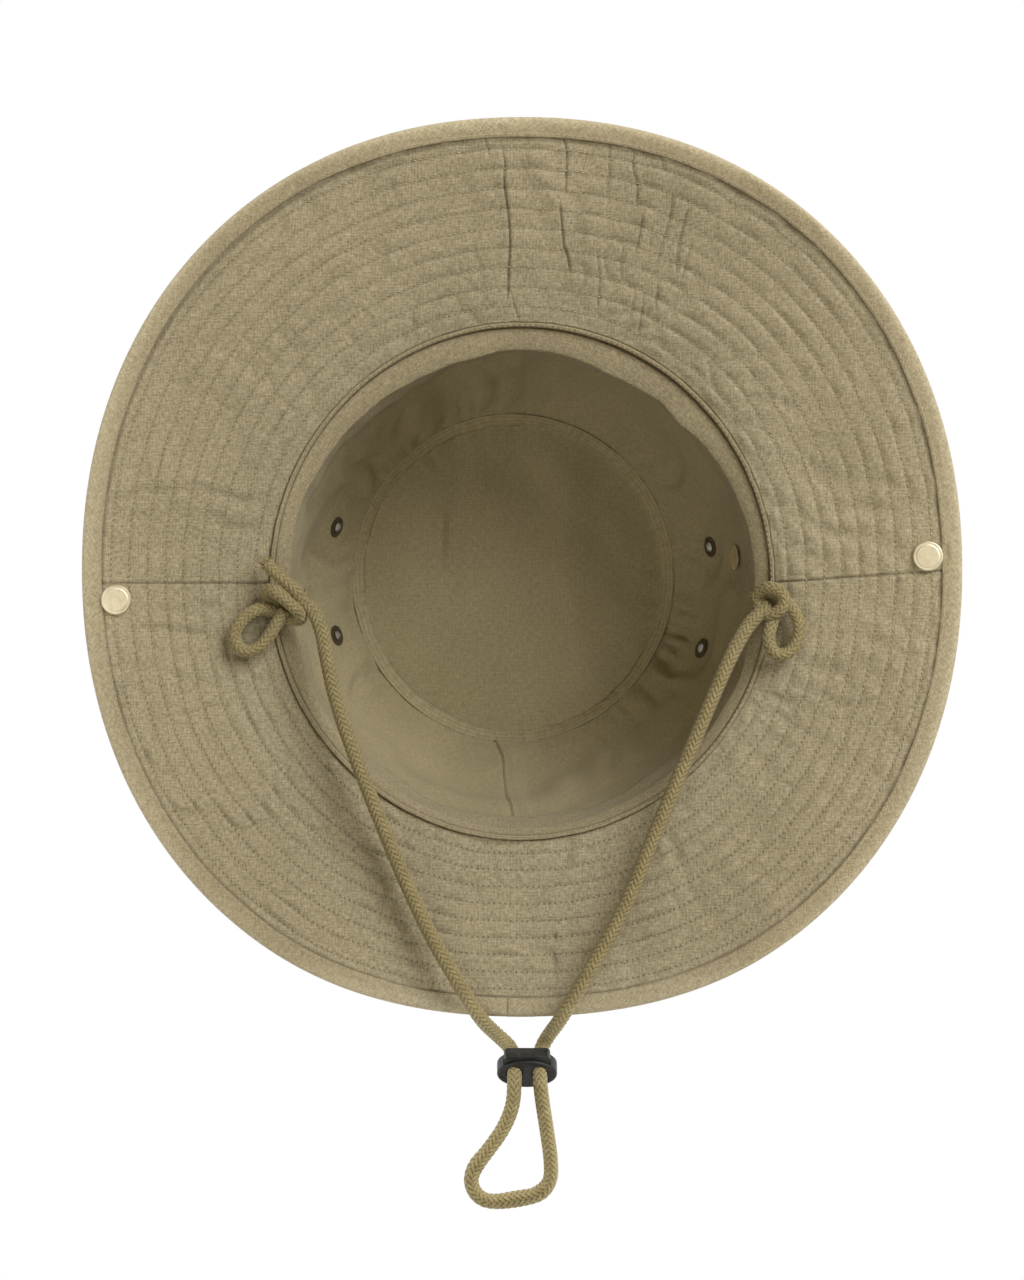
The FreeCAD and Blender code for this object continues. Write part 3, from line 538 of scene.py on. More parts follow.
def tube(line, half_width, half_height, outward, sides, start=0):
    """Return the points, faces and uv of a flat tube along a line; outward is its flat side's normal."""
    tangent = unit(np.gradient(line, axis=0))
    outward = unit(outward - tangent * np.sum(outward * tangent, axis=1, keepdims=True))
    across = np.cross(tangent, outward)
    turn = np.arange(sides) / sides * TURN
    half_width, half_height = (np.broadcast_to(half, len(line))[:, None, None]
                               for half in (half_width, half_height))
    ring = (across[:, None] * np.cos(turn)[None, :, None] * half_width
            + outward[:, None] * np.sin(turn)[None, :, None] * half_height)
    faces = grid_faces(len(line), sides, wrap_columns=True, start=start)
    faces.append(list(range(start, start + sides)))
    last = start + (len(line) - 1) * sides
    faces.append(list(range(last + sides - 1, last - 1, -1)))
    uv = np.stack(mesh_grid(lengths_along(line), turn / TURN * 2 * MM), -1)
    return (line[:, None] + ring).reshape(-1, 3), faces, uv.reshape(-1, 2)


class Gathered:
    """Many small parts of one mesh, in metres."""

    def __init__(self):
        self.points, self.faces, self.uv, self.count = [], [], [], 0

    def keep(self, points, faces, uv):
        self.points.append(points)
        self.faces += faces
        self.uv.append(uv)
        self.count += len(points)

    def keep_tube(self, line, half_width, half_height, outward, sides):
        self.keep(*tube(line, half_width, half_height, outward, sides, self.count))

    # Its last argument is each point's painted shade.
    def mesh(self, name, material, painted_shade=None):
        points, uv = np.concatenate(self.points), np.concatenate(self.uv)
        return add_mesh(name, points, self.faces, material, uv, painted_shade)


def braid(name, line, radius, bulges=()):
    """Build a round braid of real strands, eight each way, over two and under two, along a line."""
    line, length = resample(line, BRAID_STEP)
    side, up = carried_frames(line)
    along = np.linspace(0, length, len(line))
    own = np.full(len(line), radius)
    for share, extra, half in bulges:
        own += extra * bump(along - share * length, half)
    parts = Gathered()
    parts.keep_tube(line, own * CORE_SHARE, own * CORE_SHARE, side, CORE_SIDES)
    # Painted shade: the core, seen only between the strands, is darkened almost fully.
    shades = [np.full(CORE_SIDES * len(line), 0.9)]
    edge = np.abs(np.cos(np.arange(YARN_SIDES) / YARN_SIDES * TURN))
    for way in (-1, 1):
        for strand in range(STRANDS):
            angle = way * (along / BRAID_PITCH + strand / STRANDS) * TURN
            crossing = 2 * STRANDS * along / BRAID_PITCH + 2 * strand
            over = np.cos((crossing * 0.5 - (0.25 if way > 0 else 0.75)) * math.pi)
            reach = own - YARN_HALF_HEIGHT - YARN_DIP * (1 - over) * 0.5
            outward = side * np.cos(angle)[:, None] + up * np.sin(angle)[:, None]
            middle = line + outward * reach[:, None]
            parts.keep_tube(middle, YARN_HALF_WIDTH, YARN_HALF_HEIGHT, outward, YARN_SIDES)
            # Painted shade where a strand dips under the others and on each yarn's flanks.
            shades.append((0.36 * (1 - over[:, None]) * 0.5 + 0.25 * edge[None] ** 2).ravel())
    return parts.mesh(name, cord_yarn, np.concatenate(shades))


cord_line = route_points("cord_route", CORD_ROUTE)
cord = braid("chin_cord_braid", cord_line, CORD / 2 + CORD_PLUMP, CORD_BULGES)
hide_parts("chin_cord")


# ---------------------------------------------------------------- brim

# Sizes in millimetres. A bearing t runs from the back (+Y), with +X at a quarter turn, and a share s
# runs from 0 at the crown seam to 1 at the brim's outer edge.
OPENING = (91.0, 93.3)
OUTLINE = (157.2, 161.1)
OUTLINE_POWER = 2.11
BRIM_WIDTH = 68
BRIM_THICK = 2.4
BINDING_GAP = 0.15
BINDING_CLOTH = 0.7
BINDING_WIDTH = 7.2
BINDING_RADIUS = 152
BINDING_SEAM_SHARE = 0.91
ARCH_FOOT = math.radians(33)
ARCH_BACK, ARCH_SIDE, ARCH_FRONT = 13.0, 5.0, 3.0
FIRST_ROW, ROW_STEP, ROWS = 0.157, 0.0957, 9
STITCH = 2.0
STITCH_PARTS = (0.17, 0.83)
LONG_STITCH_PARTS = (0.15, 0.85)
SNAPS = ((-145.4, 11.0), (145.4, -4.6))
SNAP_CLEAR = 5.6
# Bearings of the creased front and of the two side seams, where the mesh is finer.
CREASED = math.radians(168), math.radians(19)
SEAM_BEARINGS = math.radians(90.6), math.radians(270.6)
# How far from an end column its normals are measured.
END_STEP = 0.002

# Creases of the front edge, as (depth, width, points) with each point's x and y.
CREASES = (
    (0.85, 0.42, ((-7.2, -151), (-6.0, -145), (-6.4, -137.3), (-5.2, -129), (-4.4, -121.7), (-4.4, -115.7),
                  (-4.8, -108.5), (-5.1, -100), (-5.3, -94))),
    (0.70, 0.42, ((14.6, -154), (16.0, -149.3), (15.8, -143.3), (15.6, -137.3), (15.2, -134))),
    (0.75, 0.42, ((13.4, -131), (14.2, -124), (15.0, -115.7), (16.4, -112), (17.3, -106))),
    (0.60, 0.45, ((39.9, -149.3), (39.5, -143.3), (41.1, -137.3), (40.9, -129))),
    (0.60, 0.45, ((43.2, -127), (42.1, -119.3), (40.6, -113))),
    (0.35, 0.60, ((49.2, -147), (51, -141))),
    (0.45, 0.60, ((54, -135), (52.8, -125.3), (50.4, -117), (47.4, -107))),
    (0.50, 0.60, ((59.4, -130), (57.6, -123), (55.8, -114.5), (55.2, -105))),
    (0.35, 0.60, ((61.1, -117), (58.8, -111), (57, -102.5))),
    (0.40, 0.60, ((48.6, -102.5), (48, -93))),
    (0.40, 0.60, ((43.9, -100), (42.7, -90.5), (41.5, -83))),
    (0.40, 0.60, ((26.6, -114.5), (28, -105), (27.1, -93))),
    (0.35, 0.55, ((0.9, -149.3), (2.3, -144))),
    (0.40, 0.55, ((-13.4, -154), (-11.6, -147))),
    (0.40, 0.60, ((31.3, -151.7), (31.1, -142), (30.1, -132.5))),
    (0.30, 0.70, ((-24, -146), (-22.5, -133))),
    (0.30, 0.70, ((-34, -138), (-31, -124))),
    (0.30, 0.70, ((-47, -140), (-43, -128))),
    (0.60, 0.55, ((12.4, 127), (11.6, 141), (12.6, 154))),
    (0.35, 0.70, ((-30, 120), (-34, 133), (-33, 145))),
    (0.30, 0.70, ((52, 108), (56, 121))),
)
SIDE_SEAMS = (((-158, 5.0), (-89, 5.0)), ((158, 0.0), (89, 5.0)))
# Soft wrinkles of the sides, as (depth, width, points).
WRINKLES = (
    (1.5, 2.4, ((-148, -22), (-136, -27), (-122, -27.5), (-108, -24))),
    (1.6, 2.2, ((-122, -31), (-110, -27), (-100, -24.5), (-90, -27))),
    (1.2, 2.6, ((-112, -17), (-98, -13.5), (-84, -15))),
    (0.8, 2.0, ((-106, -24.5), (-92, -21.5))),
    (1.7, 2.2, ((-147, 22), (-135, 21.5), (-122, 23), (-110, 25), (-102, 21))),
    (1.2, 2.0, ((-132, 15.5), (-120, 15), (-106, 12.5))),
    (0.8, 2.6, ((-150, 34), (-128, 37), (-112, 42))),
    (0.9, 2.6, ((-135, 55), (-116, 52), (-98, 48))),
    (0.8, 2.6, ((150, -32), (133, -30), (117, -33))),
    (1.1, 2.6, ((138, -20), (118, -22), (97, -18))),
    (0.8, 2.4, ((146, 24), (126, 27), (108, 24))),
    (0.9, 2.6, ((132, 50), (114, 49), (97, 41))),
    (0.7, 2.6, ((-118, -78), (-103, -66), (-88, -54))),
    (0.7, 2.6, ((121, -72), (106, -62), (90, -52))),
)


def power_of(value):
    """Shape a sine or cosine for the brim's outline, which is a little squarer than an ellipse."""
    return np.sign(value) * np.abs(value) ** (2 / OUTLINE_POWER)


def edge_height(t):
    """Return the brim's height at its outer edge: low at front and back feet, arched at the back."""
    turn = np.abs(np.arctan2(np.sin(t), np.cos(t)))

    def wave(share):
        return 0.5 + 0.5 * np.cos(math.pi * share)

    middle = np.sin(math.pi * (turn - ARCH_FOOT) / (math.pi - 2 * ARCH_FOOT)) ** 2
    front = ARCH_FRONT * wave((math.pi - turn) / ARCH_FOOT)
    height = np.where(turn < math.pi - ARCH_FOOT, ARCH_SIDE * middle, front)
    return np.where(turn < ARCH_FOOT, ARCH_BACK * wave(turn / ARCH_FOOT), height)


def brim_point(t, s, above=0.0):
    """Return a point above the brim cloth's underside."""
    t, s, above = np.broadcast_arrays(np.asarray(t, float), s, above)
    edge = edge_height(t) + BINDING_CLOTH + BINDING_GAP
    x = OPENING[0] * np.sin(t) * (1 - s) + OUTLINE[0] * power_of(np.sin(t)) * s
    y = (CROWN_CENTRE + OPENING[1] * np.cos(t)) * (1 - s) + OUTLINE[1] * power_of(np.cos(t)) * s
    return np.stack([x, y, SEAM_HEIGHT + (edge - SEAM_HEIGHT) * s + above], -1)


def brim_columns(spacing, fine, side):
    """Return one half's bearings, spaced evenly in millimetres and closer at the creases and seams."""
    t = np.linspace(0.0, math.pi, 4001) if side > 0 else np.linspace(math.pi, TURN, 4001)
    step = np.linalg.norm(np.diff(brim_point(t, 0.6)[:, :2], axis=0), axis=1)
    middle = (t[1:] + t[:-1]) / 2
    creased = np.abs(middle - CREASED[0]) < CREASED[1]
    for seam in SEAM_BEARINGS:
        creased |= np.abs(middle - seam) < 0.035
    return spread(t, step / np.where(creased, fine, spacing))


def row_wobble(t):
    return 0.06 * ring_noise(t / TURN, 36, 0.5, 3) + 0.04 * ring_noise(t / TURN, 90, 3.5, 4)


def row_coordinate(t, s):
    """Return 0 on the outermost row of stitching, 1 on the next one in, and so on."""
    return (1 - s - FIRST_ROW) / ROW_STEP + row_wobble(t)


def row_share(t, row):
    return 1 - FIRST_ROW - ROW_STEP * (row - row_wobble(t))


def line_distance(points, line):
    """Return each point's distance from a line of x, y points, and how far along the line it is, 0 to 1."""
    best = np.full(points.shape[:-1], 1e9)
    place = np.zeros(points.shape[:-1])
    line = np.asarray(line, float)
    lengths = lengths_along(line)
    for index in range(len(line) - 1):
        run = line[index + 1] - line[index]
        share = np.clip(((points - line[index]) @ run) / (run @ run), 0, 1)
        distance = np.linalg.norm(points - line[index] - share[..., None] * run, axis=-1)
        closer = distance < best
        best = np.where(closer, distance, best)
        reached = lengths[index] + share * (lengths[index + 1] - lengths[index])
        place = np.where(closer, reached / lengths[-1], place)
    return best, place


def near_snaps(flat, clear=6.5, blend=6.0):
    """Return 0 close to a snap, where the cloth is pressed flat, rising to 1 away from it."""
    open_share = np.ones(flat.shape[:-1])
    for snap in SNAPS:
        distance = np.linalg.norm(flat - np.array(snap), axis=-1)
        open_share = open_share * smooth_step(distance, clear, clear + blend)
    return open_share


def brim_relief(t, s, seed):
    """Return how far the quilted cloth stands out of its plane on one face."""
    around = t / TURN
    across = s * BRIM_WIDTH
    row = row_coordinate(t, s)
    from_row = np.abs(row - np.clip(np.round(row), 0, ROWS - 1)) * ROW_STEP * BRIM_WIDTH
    quilt = 0.44 * (1 - np.exp(-from_row / 0.85)) * smooth_step(s, 0.0, 0.05) * smooth_step(1 - s, 0.0, 0.05)
    shift = 0.5 * ring_noise(around, 60, across / 9, seed + 1)
    lines = 1 - np.abs(ring_noise(around, 118, across / 13, seed, shift))
    where = smooth_step(ring_noise(around, 31, across / 22, seed + 2), -0.35, 0.6)
    pucker = -0.7 * lines ** 7 * (0.15 + 0.85 * where)
    degrees = np.degrees(t) % 360
    rumpled = 1 + 1.3 * bump(degrees - 315, 35) + 0.8 * bump(degrees - 30, 28)
    shift = 2 * ring_noise(around, 20, across / 30, seed + 5)
    swell = 0.30 * ring_noise(around, 150, row + 0.5, seed + 3)
    swell += 0.62 * rumpled * smooth_noise(around * 137 + shift + 3 * s, across / 19, seed + 6, wrap=137)
    swell += 0.10 * ring_noise(around, 420, across / 3.2, seed + 4)
    relief = (quilt + pucker + swell * np.minimum(from_row / 1.5, 1)) * near_snaps(brim_point(t, s)[..., :2])
    return relief * smooth_step(s, 0, 0.04) * (1 - 0.7 * smooth_step(s, 0.86, 0.93))


def brim_creases(t, s):
    """Return the depth of the underside's sharp creases with the lips beside them, and of its side seams."""
    flat = brim_point(t, s)[..., :2]
    total = np.zeros(flat.shape[:-1])
    for depth, width, line in CREASES:
        corner = np.asarray(line, float)
        near = np.all((flat > corner.min(0) - 8) & (flat < corner.max(0) + 8), axis=-1)
        if near.any():
            distance, place = line_distance(flat[near], line)
            taper = np.sqrt(np.clip(np.minimum(place, 1 - place) * 6, 0, 1))
            lip = 0.32 * bump(distance, 2.4) - 1.32 * np.exp(-(distance / width) ** 1.5)
            total[near] += depth * taper * lip
    grooves = np.zeros(flat.shape[:-1])
    for line in SIDE_SEAMS:
        distance, _ = line_distance(flat, line)
        grooves += 0.15 * bump(distance, 3.0) - 0.75 * bump(distance, 0.45)
    return total + grooves


def brim_waves(t, s):
    """Return the soft wrinkles and the slight unevenness that both faces share."""
    flat = brim_point(t, s)[..., :2]
    total = 0.65 * ring_noise(t / TURN, 17, s * 1.6 + 0.3, 21) + 0.4 * ring_noise(t / TURN, 41, s * 3.1, 22)
    for depth, width, line in WRINKLES:
        distance, place = line_distance(flat, line)
        taper = np.clip(np.minimum(place, 1 - place) * 4, 0, 1)
        total += depth * taper * (bump(distance, width) - 0.6 * bump(distance / width, 2.2))
    edge = smooth_step(s, 0, 0.15) * (1 - 0.8 * smooth_step(s, 0.84, 0.94))
    return total * edge * near_snaps(flat, 7, 12)


def brim_painted_shade(t, s):
    """Return the underside's painted shade, from 0 on open cloth to 1 in the sharpest crease, with a thin
    painted shadow line along the binding's inner edge.
    """
    from_binding = (s - (1 - (BINDING_WIDTH + 0.2) / BRIM_WIDTH)) * BRIM_WIDTH
    return np.clip(-brim_creases(t, s) - 0.1, 0, 0.7) * 1.05 + 0.6 * bump(from_binding, 0.6)


def low_face(t, s):
    """Return points on the brim's underside as it really lies."""
    return brim_point(t, s, brim_waves(t, s) - brim_relief(t, s, 40) - brim_creases(t, s))


def top_face(t, s):
    return brim_point(t, s, BRIM_THICK + brim_waves(t, s) + brim_relief(t, s, 60))


def along_rows(t, s):
    """Return how many stitches fit between the back and each point, along its own row."""
    flat = brim_point(t, s)[..., :2]
    step = np.linalg.norm(np.diff(flat, axis=0), axis=-1)
    return np.concatenate([np.zeros((1, flat.shape[1])), np.cumsum(step, axis=0)]) / STITCH


def shell_normals(grid):
    """Return the normals of a grid of points."""
    return unit(np.cross(np.gradient(grid, axis=0), np.gradient(grid, axis=1)))


def close_shell(low, top):
    """Join two grids of points, one above the other, into one closed shell."""
    rows, columns = low.shape[:2]
    top_start = rows * columns
    faces = grid_faces(rows, columns)
    faces += [face[::-1] for face in grid_faces(rows, columns, start=top_start)]
    index = np.arange(top_start).reshape(rows, columns)
    rim = np.concatenate([index[0, :-1], index[:-1, -1], index[-1, :0:-1], index[:0:-1, 0]])
    following = np.roll(rim, -1)
    faces += np.stack([following, rim, rim + top_start, following + top_start], -1).tolist()
    return np.concatenate([low.reshape(-1, 3), top.reshape(-1, 3)]), faces


def brim_half(name, side):
    columns = brim_columns(1.25, 0.5, side)
    shares = np.linspace(0.0, 1 - (BINDING_CLOTH + BINDING_GAP) / BRIM_WIDTH, 88)
    t, s = mesh_grid(columns, shares)
    points, faces = close_shell(low_face(t, s), top_face(t, s))
    stitches = along_rows(t, s) if side > 0 else -along_rows((TURN - t)[::-1], s)[::-1]
    rows = np.stack([stitches, row_coordinate(t, s)], -1).reshape(-1, 2)
    # Painted shade in the underside's creases and along the binding's edge; none on the top face.
    painted_shade = np.concatenate([brim_painted_shade(t, s).ravel(), np.zeros(t.size)])
    item = add_mesh(name, points * MM, faces, brim_cloth, points[:, :2] * MM, painted_shade,
                    np.concatenate([rows, rows]))
    normals = np.zeros((len(points), 3))
    for column in (0, len(columns) - 1):
        near = mesh_grid(columns[column] + np.array([-END_STEP, 0, END_STEP]), shares)
        index = column * len(shares) + np.arange(len(shares))
        for face, start, up in ((low_face, 0, -1), (top_face, t.size, 1)):
            found = shell_normals(face(*near))[1]
            normals[start + index] = found * np.where(found[:, 2:] * up < 0, -1, 1)
    item.data.normals_split_custom_set_from_vertices(normals.tolist())
    return item


class StitchLine(Gathered):
    """Many small stitches gathered into one mesh, given in millimetres."""

    # Share of the stitch's length, share of its thickness, and lift of each of its rings.
    RINGS = ((0.0, 0.35, -0.12), (0.22, 1.0, 0.06), (0.78, 1.0, 0.06), (1.0, 0.35, -0.12))
    SIDES = 5

    def add(self, starts, ends, normals, half_width=0.24, half_height=0.17):
        """Add one stitch from each start to each end, standing on a face with these normals."""
        starts, ends, normals = (np.asarray(item, float).reshape(-1, 3) for item in (starts, ends, normals))
        across = unit(np.cross(unit(ends - starts), normals))
        turn = np.arange(self.SIDES) / self.SIDES * TURN
        rings = []
        for share, size, lift in self.RINGS:
            middle = starts + (ends - starts) * share + normals * lift
            rings.append(middle[:, None] + across[:, None] * np.cos(turn)[None, :, None] * half_width * size
                         + normals[:, None] * np.sin(turn)[None, :, None] * half_height * size)
        size = len(self.RINGS) * self.SIDES
        base = (np.arange(len(starts)) * size + self.count)[:, None, None]
        sides = np.array(grid_faces(len(self.RINGS), self.SIDES, wrap_columns=True)) + base
        caps = np.stack([np.arange(self.SIDES), np.arange(self.SIDES)[::-1] + size - self.SIDES]) + base
        along = np.linalg.norm(ends - starts, axis=1)[:, None, None] * np.array(self.RINGS)[None, :, :1]
        uv = np.stack(np.broadcast_arrays(along, (turn / TURN)[None, None]), -1).reshape(-1, 2)
        faces = sides.reshape(-1, 4).tolist() + caps.reshape(-1, self.SIDES).tolist()
        self.keep(np.stack(rings, 1).reshape(-1, 3) * MM, faces, uv * MM)

    def add_on_brim(self, starts, ends, up, *sizes):
        """Add stitches on one face of the brim, leaving out those under a snap."""
        away = near_snaps(starts[:, :2], SNAP_CLEAR, 0.4) > 0.5
        self.add(starts[away], ends[away], (0, 0, up), *sizes)

    def sewn(self, name):
        return self.mesh(name, sewing_thread)


def stitch_bearings(side, share_at, parts):
    """Return where the first and last ends of the stitches lie, along a line on one half of the brim."""
    table = np.linspace(0, math.pi, 3001)
    share = share_at(table if side > 0 else TURN - table)
    length = lengths_along(brim_point(table, share)[:, :2]) / STITCH
    ends = [np.interp(np.arange(0, int(length[-1])) + part, length, table) for part in parts]
    return ends if side > 0 else [TURN - end for end in ends]


def brim_stitches(name, side, face, up):
    """Sew every row of one half and one face of the brim."""
    line = StitchLine()
    for row in range(ROWS):
        first, last = stitch_bearings(side, lambda t: row_share(t, row), STITCH_PARTS)
        line.add_on_brim(face(first, row_share(first, row)), face(last, row_share(last, row)), up)
    return line.sewn(name)


# Section of the binding: distance in from the brim's edge and height over its underside. The first
# OUTSIDE points are its outside.
BINDING_PROFILE = np.array([
    (7.20, -0.52), (7.02, -0.80), (6.60, -0.90), (6.10, -0.86), (5.60, -0.90), (4.90, -0.98), (4.10, -1.02),
    (3.30, -1.02), (2.50, -0.98), (1.80, -0.88), (1.20, -0.68), (0.70, -0.34), (0.30, 0.18), (0.05, 0.80),
    (0.00, 1.40), (0.15, 2.05), (0.50, 2.62), (1.05, 3.02), (1.80, 3.26), (2.80, 3.36), (4.00, 3.38),
    (5.20, 3.32), (6.10, 3.26), (6.70, 3.28), (7.10, 3.18), (7.20, 2.90), (6.90, 2.58), (4.00, 2.55),
    (1.60, 2.50), (0.95, 2.05), (0.85, 1.20), (0.95, 0.35), (1.60, -0.10), (4.00, -0.15), (6.90, -0.18)])
OUTSIDE = 26
LAP_SHIFT = 40
# Which points of the section are sewn, with the way each looks.
SEWN_POINTS = ((-1.0, 3), (1.0, 22))


def binding_grid(t, proud=0.0):
    """Return the binding's section at each bearing; proud lifts its outside, as on the lapped end."""
    inset, height = BINDING_PROFILE.T
    outer = np.arange(len(inset)) < OUTSIDE
    t, inset = np.broadcast_arrays(t[:, None], inset[None])
    width = np.linalg.norm((brim_point(t, 1.0) - brim_point(t, 0.0))[..., :2], axis=-1)
    around = t / TURN
    twist = 0.16 * ring_noise(around, 150, inset / 4.5, 71, inset * 0.22)
    twist += 0.08 * ring_noise(around, 400, inset / 2.0, 72, -inset * 0.3)
    twist = twist * (inset > 0.6) * outer + proud * outer
    inset = inset + 0.22 * ring_noise(around, 60, 0.5, 73) * smooth_step(inset, 5, 7)
    share = 1 - inset / width
    pressed = near_snaps(brim_point(t, share)[..., :2], 6.2, 1.6)
    lift = height + np.where(height > 1.2, 1.0, -1.0) * twist
    lift = np.where((height < 0) & outer, -0.20 + (lift + 0.20) * (0.15 + 0.85 * pressed), lift)
    return brim_point(t, share, lift + brim_waves(t, np.minimum(share, 1.0)))


def binding_mesh(name, columns, grid, shift=0):
    """Close the sections of a length of binding; shift moves its weave along."""
    size = len(BINDING_PROFILE)
    faces = grid_faces(len(columns), size, wrap_columns=True)
    faces.append(list(range(size)))
    faces.append(list(range((len(columns) - 1) * size, len(columns) * size))[::-1])
    cloth = np.stack(mesh_grid(columns * BINDING_RADIUS + shift, lengths_along(BINDING_PROFILE)), -1)
    return orient(add_mesh(name, grid * MM, faces, binding_cloth, cloth * MM))


def binding_half(name, side):
    """Bind one half; its end sections get the whole ring's normals, so that the halves meet unseen."""
    columns = brim_columns(1.2, 0.9, side)
    size = len(BINDING_PROFILE)
    item = binding_mesh(name, columns, binding_grid(columns))
    own = np.zeros(len(item.data.vertices) * 3)
    item.data.vertices.foreach_get("normal", own)
    own = own.reshape(-1, 3)
    normals = np.zeros_like(own)
    for column in (0, len(columns) - 1):
        near = binding_grid(columns[column] + np.array([-2 * END_STEP, 0.0, 2 * END_STEP]))
        across = np.roll(near[1], -1, axis=0) - np.roll(near[1], 1, axis=0)
        found = unit(np.cross(near[2] - near[0], across))
        index = column * size + np.arange(size)
        normals[index] = found * np.where(np.sum(found * own[index], axis=1) < 0, -1, 1)[:, None]
    item.data.normals_split_custom_set_from_vertices(normals.tolist())
    return item


def binding_stitches(name, side):
    """Topstitch the binding through its lips, on both faces of one half."""
    line = StitchLine()
    bearings = stitch_bearings(side, lambda t: BINDING_SEAM_SHARE, LONG_STITCH_PARTS)
    for up, index in SEWN_POINTS:
        starts, ends = (binding_grid(t)[:, index] for t in bearings)
        line.add_on_brim(starts, ends, up, 0.22, 0.15)
    return line.sewn(name)


def binding_lap():
    """Fold the binding's end over its beginning, at the back."""
    columns = np.linspace(math.radians(-1.6), math.radians(1.35), 14)
    grid, inner = binding_grid(columns, 0.42), binding_grid(columns, 0.02)
    grid[:, OUTSIDE:] = inner[:, OUTSIDE - 1:16:-1]
    slant = np.array([0.0] * 12 + [0.6, 1.2])
    grid[..., 0] -= (BINDING_PROFILE[:, 0] / BINDING_WIDTH)[None] * slant[:, None]
    return binding_mesh("binding_lap", columns, grid, LAP_SHIFT)


SIDE_PARTS = {"left": -1, "right": 1}
BRIM_NODES = [f"brim_{layer}_{end}" for layer in ("upper", "lower") for end in ("front", "back")]


def brim():
    for side, sign in SIDE_PARTS.items():
        cloth = brim_half(side + "_brim_cloth", sign)
        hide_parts(*(f"{side}_{node}" for node in BRIM_NODES), *BRIM_NODES)
        tape = binding_half(side + "_binding_cloth", sign)
        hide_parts(side + "_binding", "binding_front", "binding_back")
        rows = [brim_stitches(side + "_brim_stitches_below", sign, low_face, -1.0),
                brim_stitches(side + "_brim_stitches_above", sign, top_face, 1.0),
                binding_stitches(side + "_binding_stitches", sign)]
        for item in [cloth, tape] + rows:
            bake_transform(item)
    lap = binding_lap()
    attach(lap, "crown")


brim()


# ---------------------------------------------------------------- crown

# Inner half-widths of the crown's wall at heights above its seam, in millimetres.
WALL_HEIGHTS = np.array([0.0, 2.7, 24.0, 50.0, 74.0, 86.0, 93.5])
WALL_HALVES = np.array([90.9, 90.6, 87.0, 82.3, 74.5, 66.5, 59.0])
WALL_SLOPES = np.gradient(WALL_HALVES, WALL_HEIGHTS)
WALL_TOP = 93.5
CROWN_STRETCH = 1.025
CLOTH = 1.0
TIP_HALF = 61.9
TIP_HEIGHT = 93.8
TIP_LEAN = np.array([-3.2, -1.4, 0.0])
TIP_STITCH_HEIGHT, TIP_STITCH_RADIUS = 89.5, 62
TIP_SEAM_HALF, TIP_SEAM_Z = 60.6, 107.6
EYELET_OPENING = 2.7
EYELETS = [f"{side}_{end}_eyelet" for side in SIDE_PARTS for end in ("front", "back")]
STUDS = [side + "_snap_stud" for side in SIDE_PARTS]
# Mean radii that turn bearings into lengths of cloth.
WALL_RADIUS, TIP_RADIUS, BAND_RADIUS, LOOP_RADIUS = 88, 60, 89, 92
# Sharp folds of the wall, as (depth, width, points) with each point's bearing in degrees and height.
WALL_FOLDS = (
    (2.4, 1.3, ((70, 94), (72, 86), (70, 76), (73, 68))),
    (1.5, 1.6, ((62, 93), (60, 82), (64, 72))),
    (1.4, 2.0, ((128, 93), (122, 80), (126, 66))),
    (1.2, 2.0, ((142, 93), (138, 78))),
    (1.6, 2.6, ((236, 93), (232, 76), (238, 58), (234, 42))),
    (1.3, 2.6, ((215, 92), (219, 74), (214, 52))),
    (1.1, 2.0, ((262, 93), (266, 78), (262, 60))),
    (1.3, 2.2, ((305, 92), (300, 76), (306, 60))),
    (1.0, 2.4, ((160, 90), (165, 66), (161, 48))),
    (1.0, 2.4, ((190, 92), (186, 70), (191, 50))),
    (1.0, 2.4, ((25, 92), (29, 74), (24, 52))),
    (1.2, 1.6, ((95, 93), (99, 84), (96, 74))),
)


def wall_half(height):
    """Return the wall's inner half-width, a smooth curve through the values above."""
    height = np.clip(height, WALL_HEIGHTS[0], WALL_HEIGHTS[-1])
    index = np.clip(np.searchsorted(WALL_HEIGHTS, height, side="right") - 1, 0, len(WALL_HEIGHTS) - 2)
    gap = WALL_HEIGHTS[index + 1] - WALL_HEIGHTS[index]
    share = (height - WALL_HEIGHTS[index]) / gap
    square, cube = share ** 2, share ** 3
    return ((2 * cube - 3 * square + 1) * WALL_HALVES[index]
            + (cube - 2 * square + share) * gap * WALL_SLOPES[index]
            + (3 * square - 2 * cube) * WALL_HALVES[index + 1]
            + (cube - square) * gap * WALL_SLOPES[index + 1])


def hardware_room(points):
    """Return 0 at the eyelets and studs, where the cloth is clamped flat, rising to 1 away from them."""
    room = np.ones(points.shape[:-1])
    for node in EYELETS + STUDS:
        room = room * smooth_step(np.linalg.norm(points - centre_of(node), axis=-1), 6.0, 17.0)
    return room


def crown_ring(t, reach, z):
    return ring_point(t, reach, CROWN_STRETCH * reach, z)


def wall_point(t, height, out=0.0):
    """Return a point on the crown's wall, moved out of it by some millimetres."""
    t, height, out = np.broadcast_arrays(np.asarray(t, float), height, out)
    slope = wall_half(height + 0.5) - wall_half(height - 0.5)
    tilt = np.hypot(1, slope)
    point = crown_ring(t, wall_half(height) + out / tilt, SEAM_HEIGHT + height - out * slope / tilt)
    return point + smooth_step(height, 79, 93)[..., None] * TIP_LEAN


def seam_bearing(height):
    """Return the bearing of the back seam, which leans a little."""
    return math.radians(-1.2) - math.radians(5.2) * np.clip((height - 20) / 70, 0, 1)


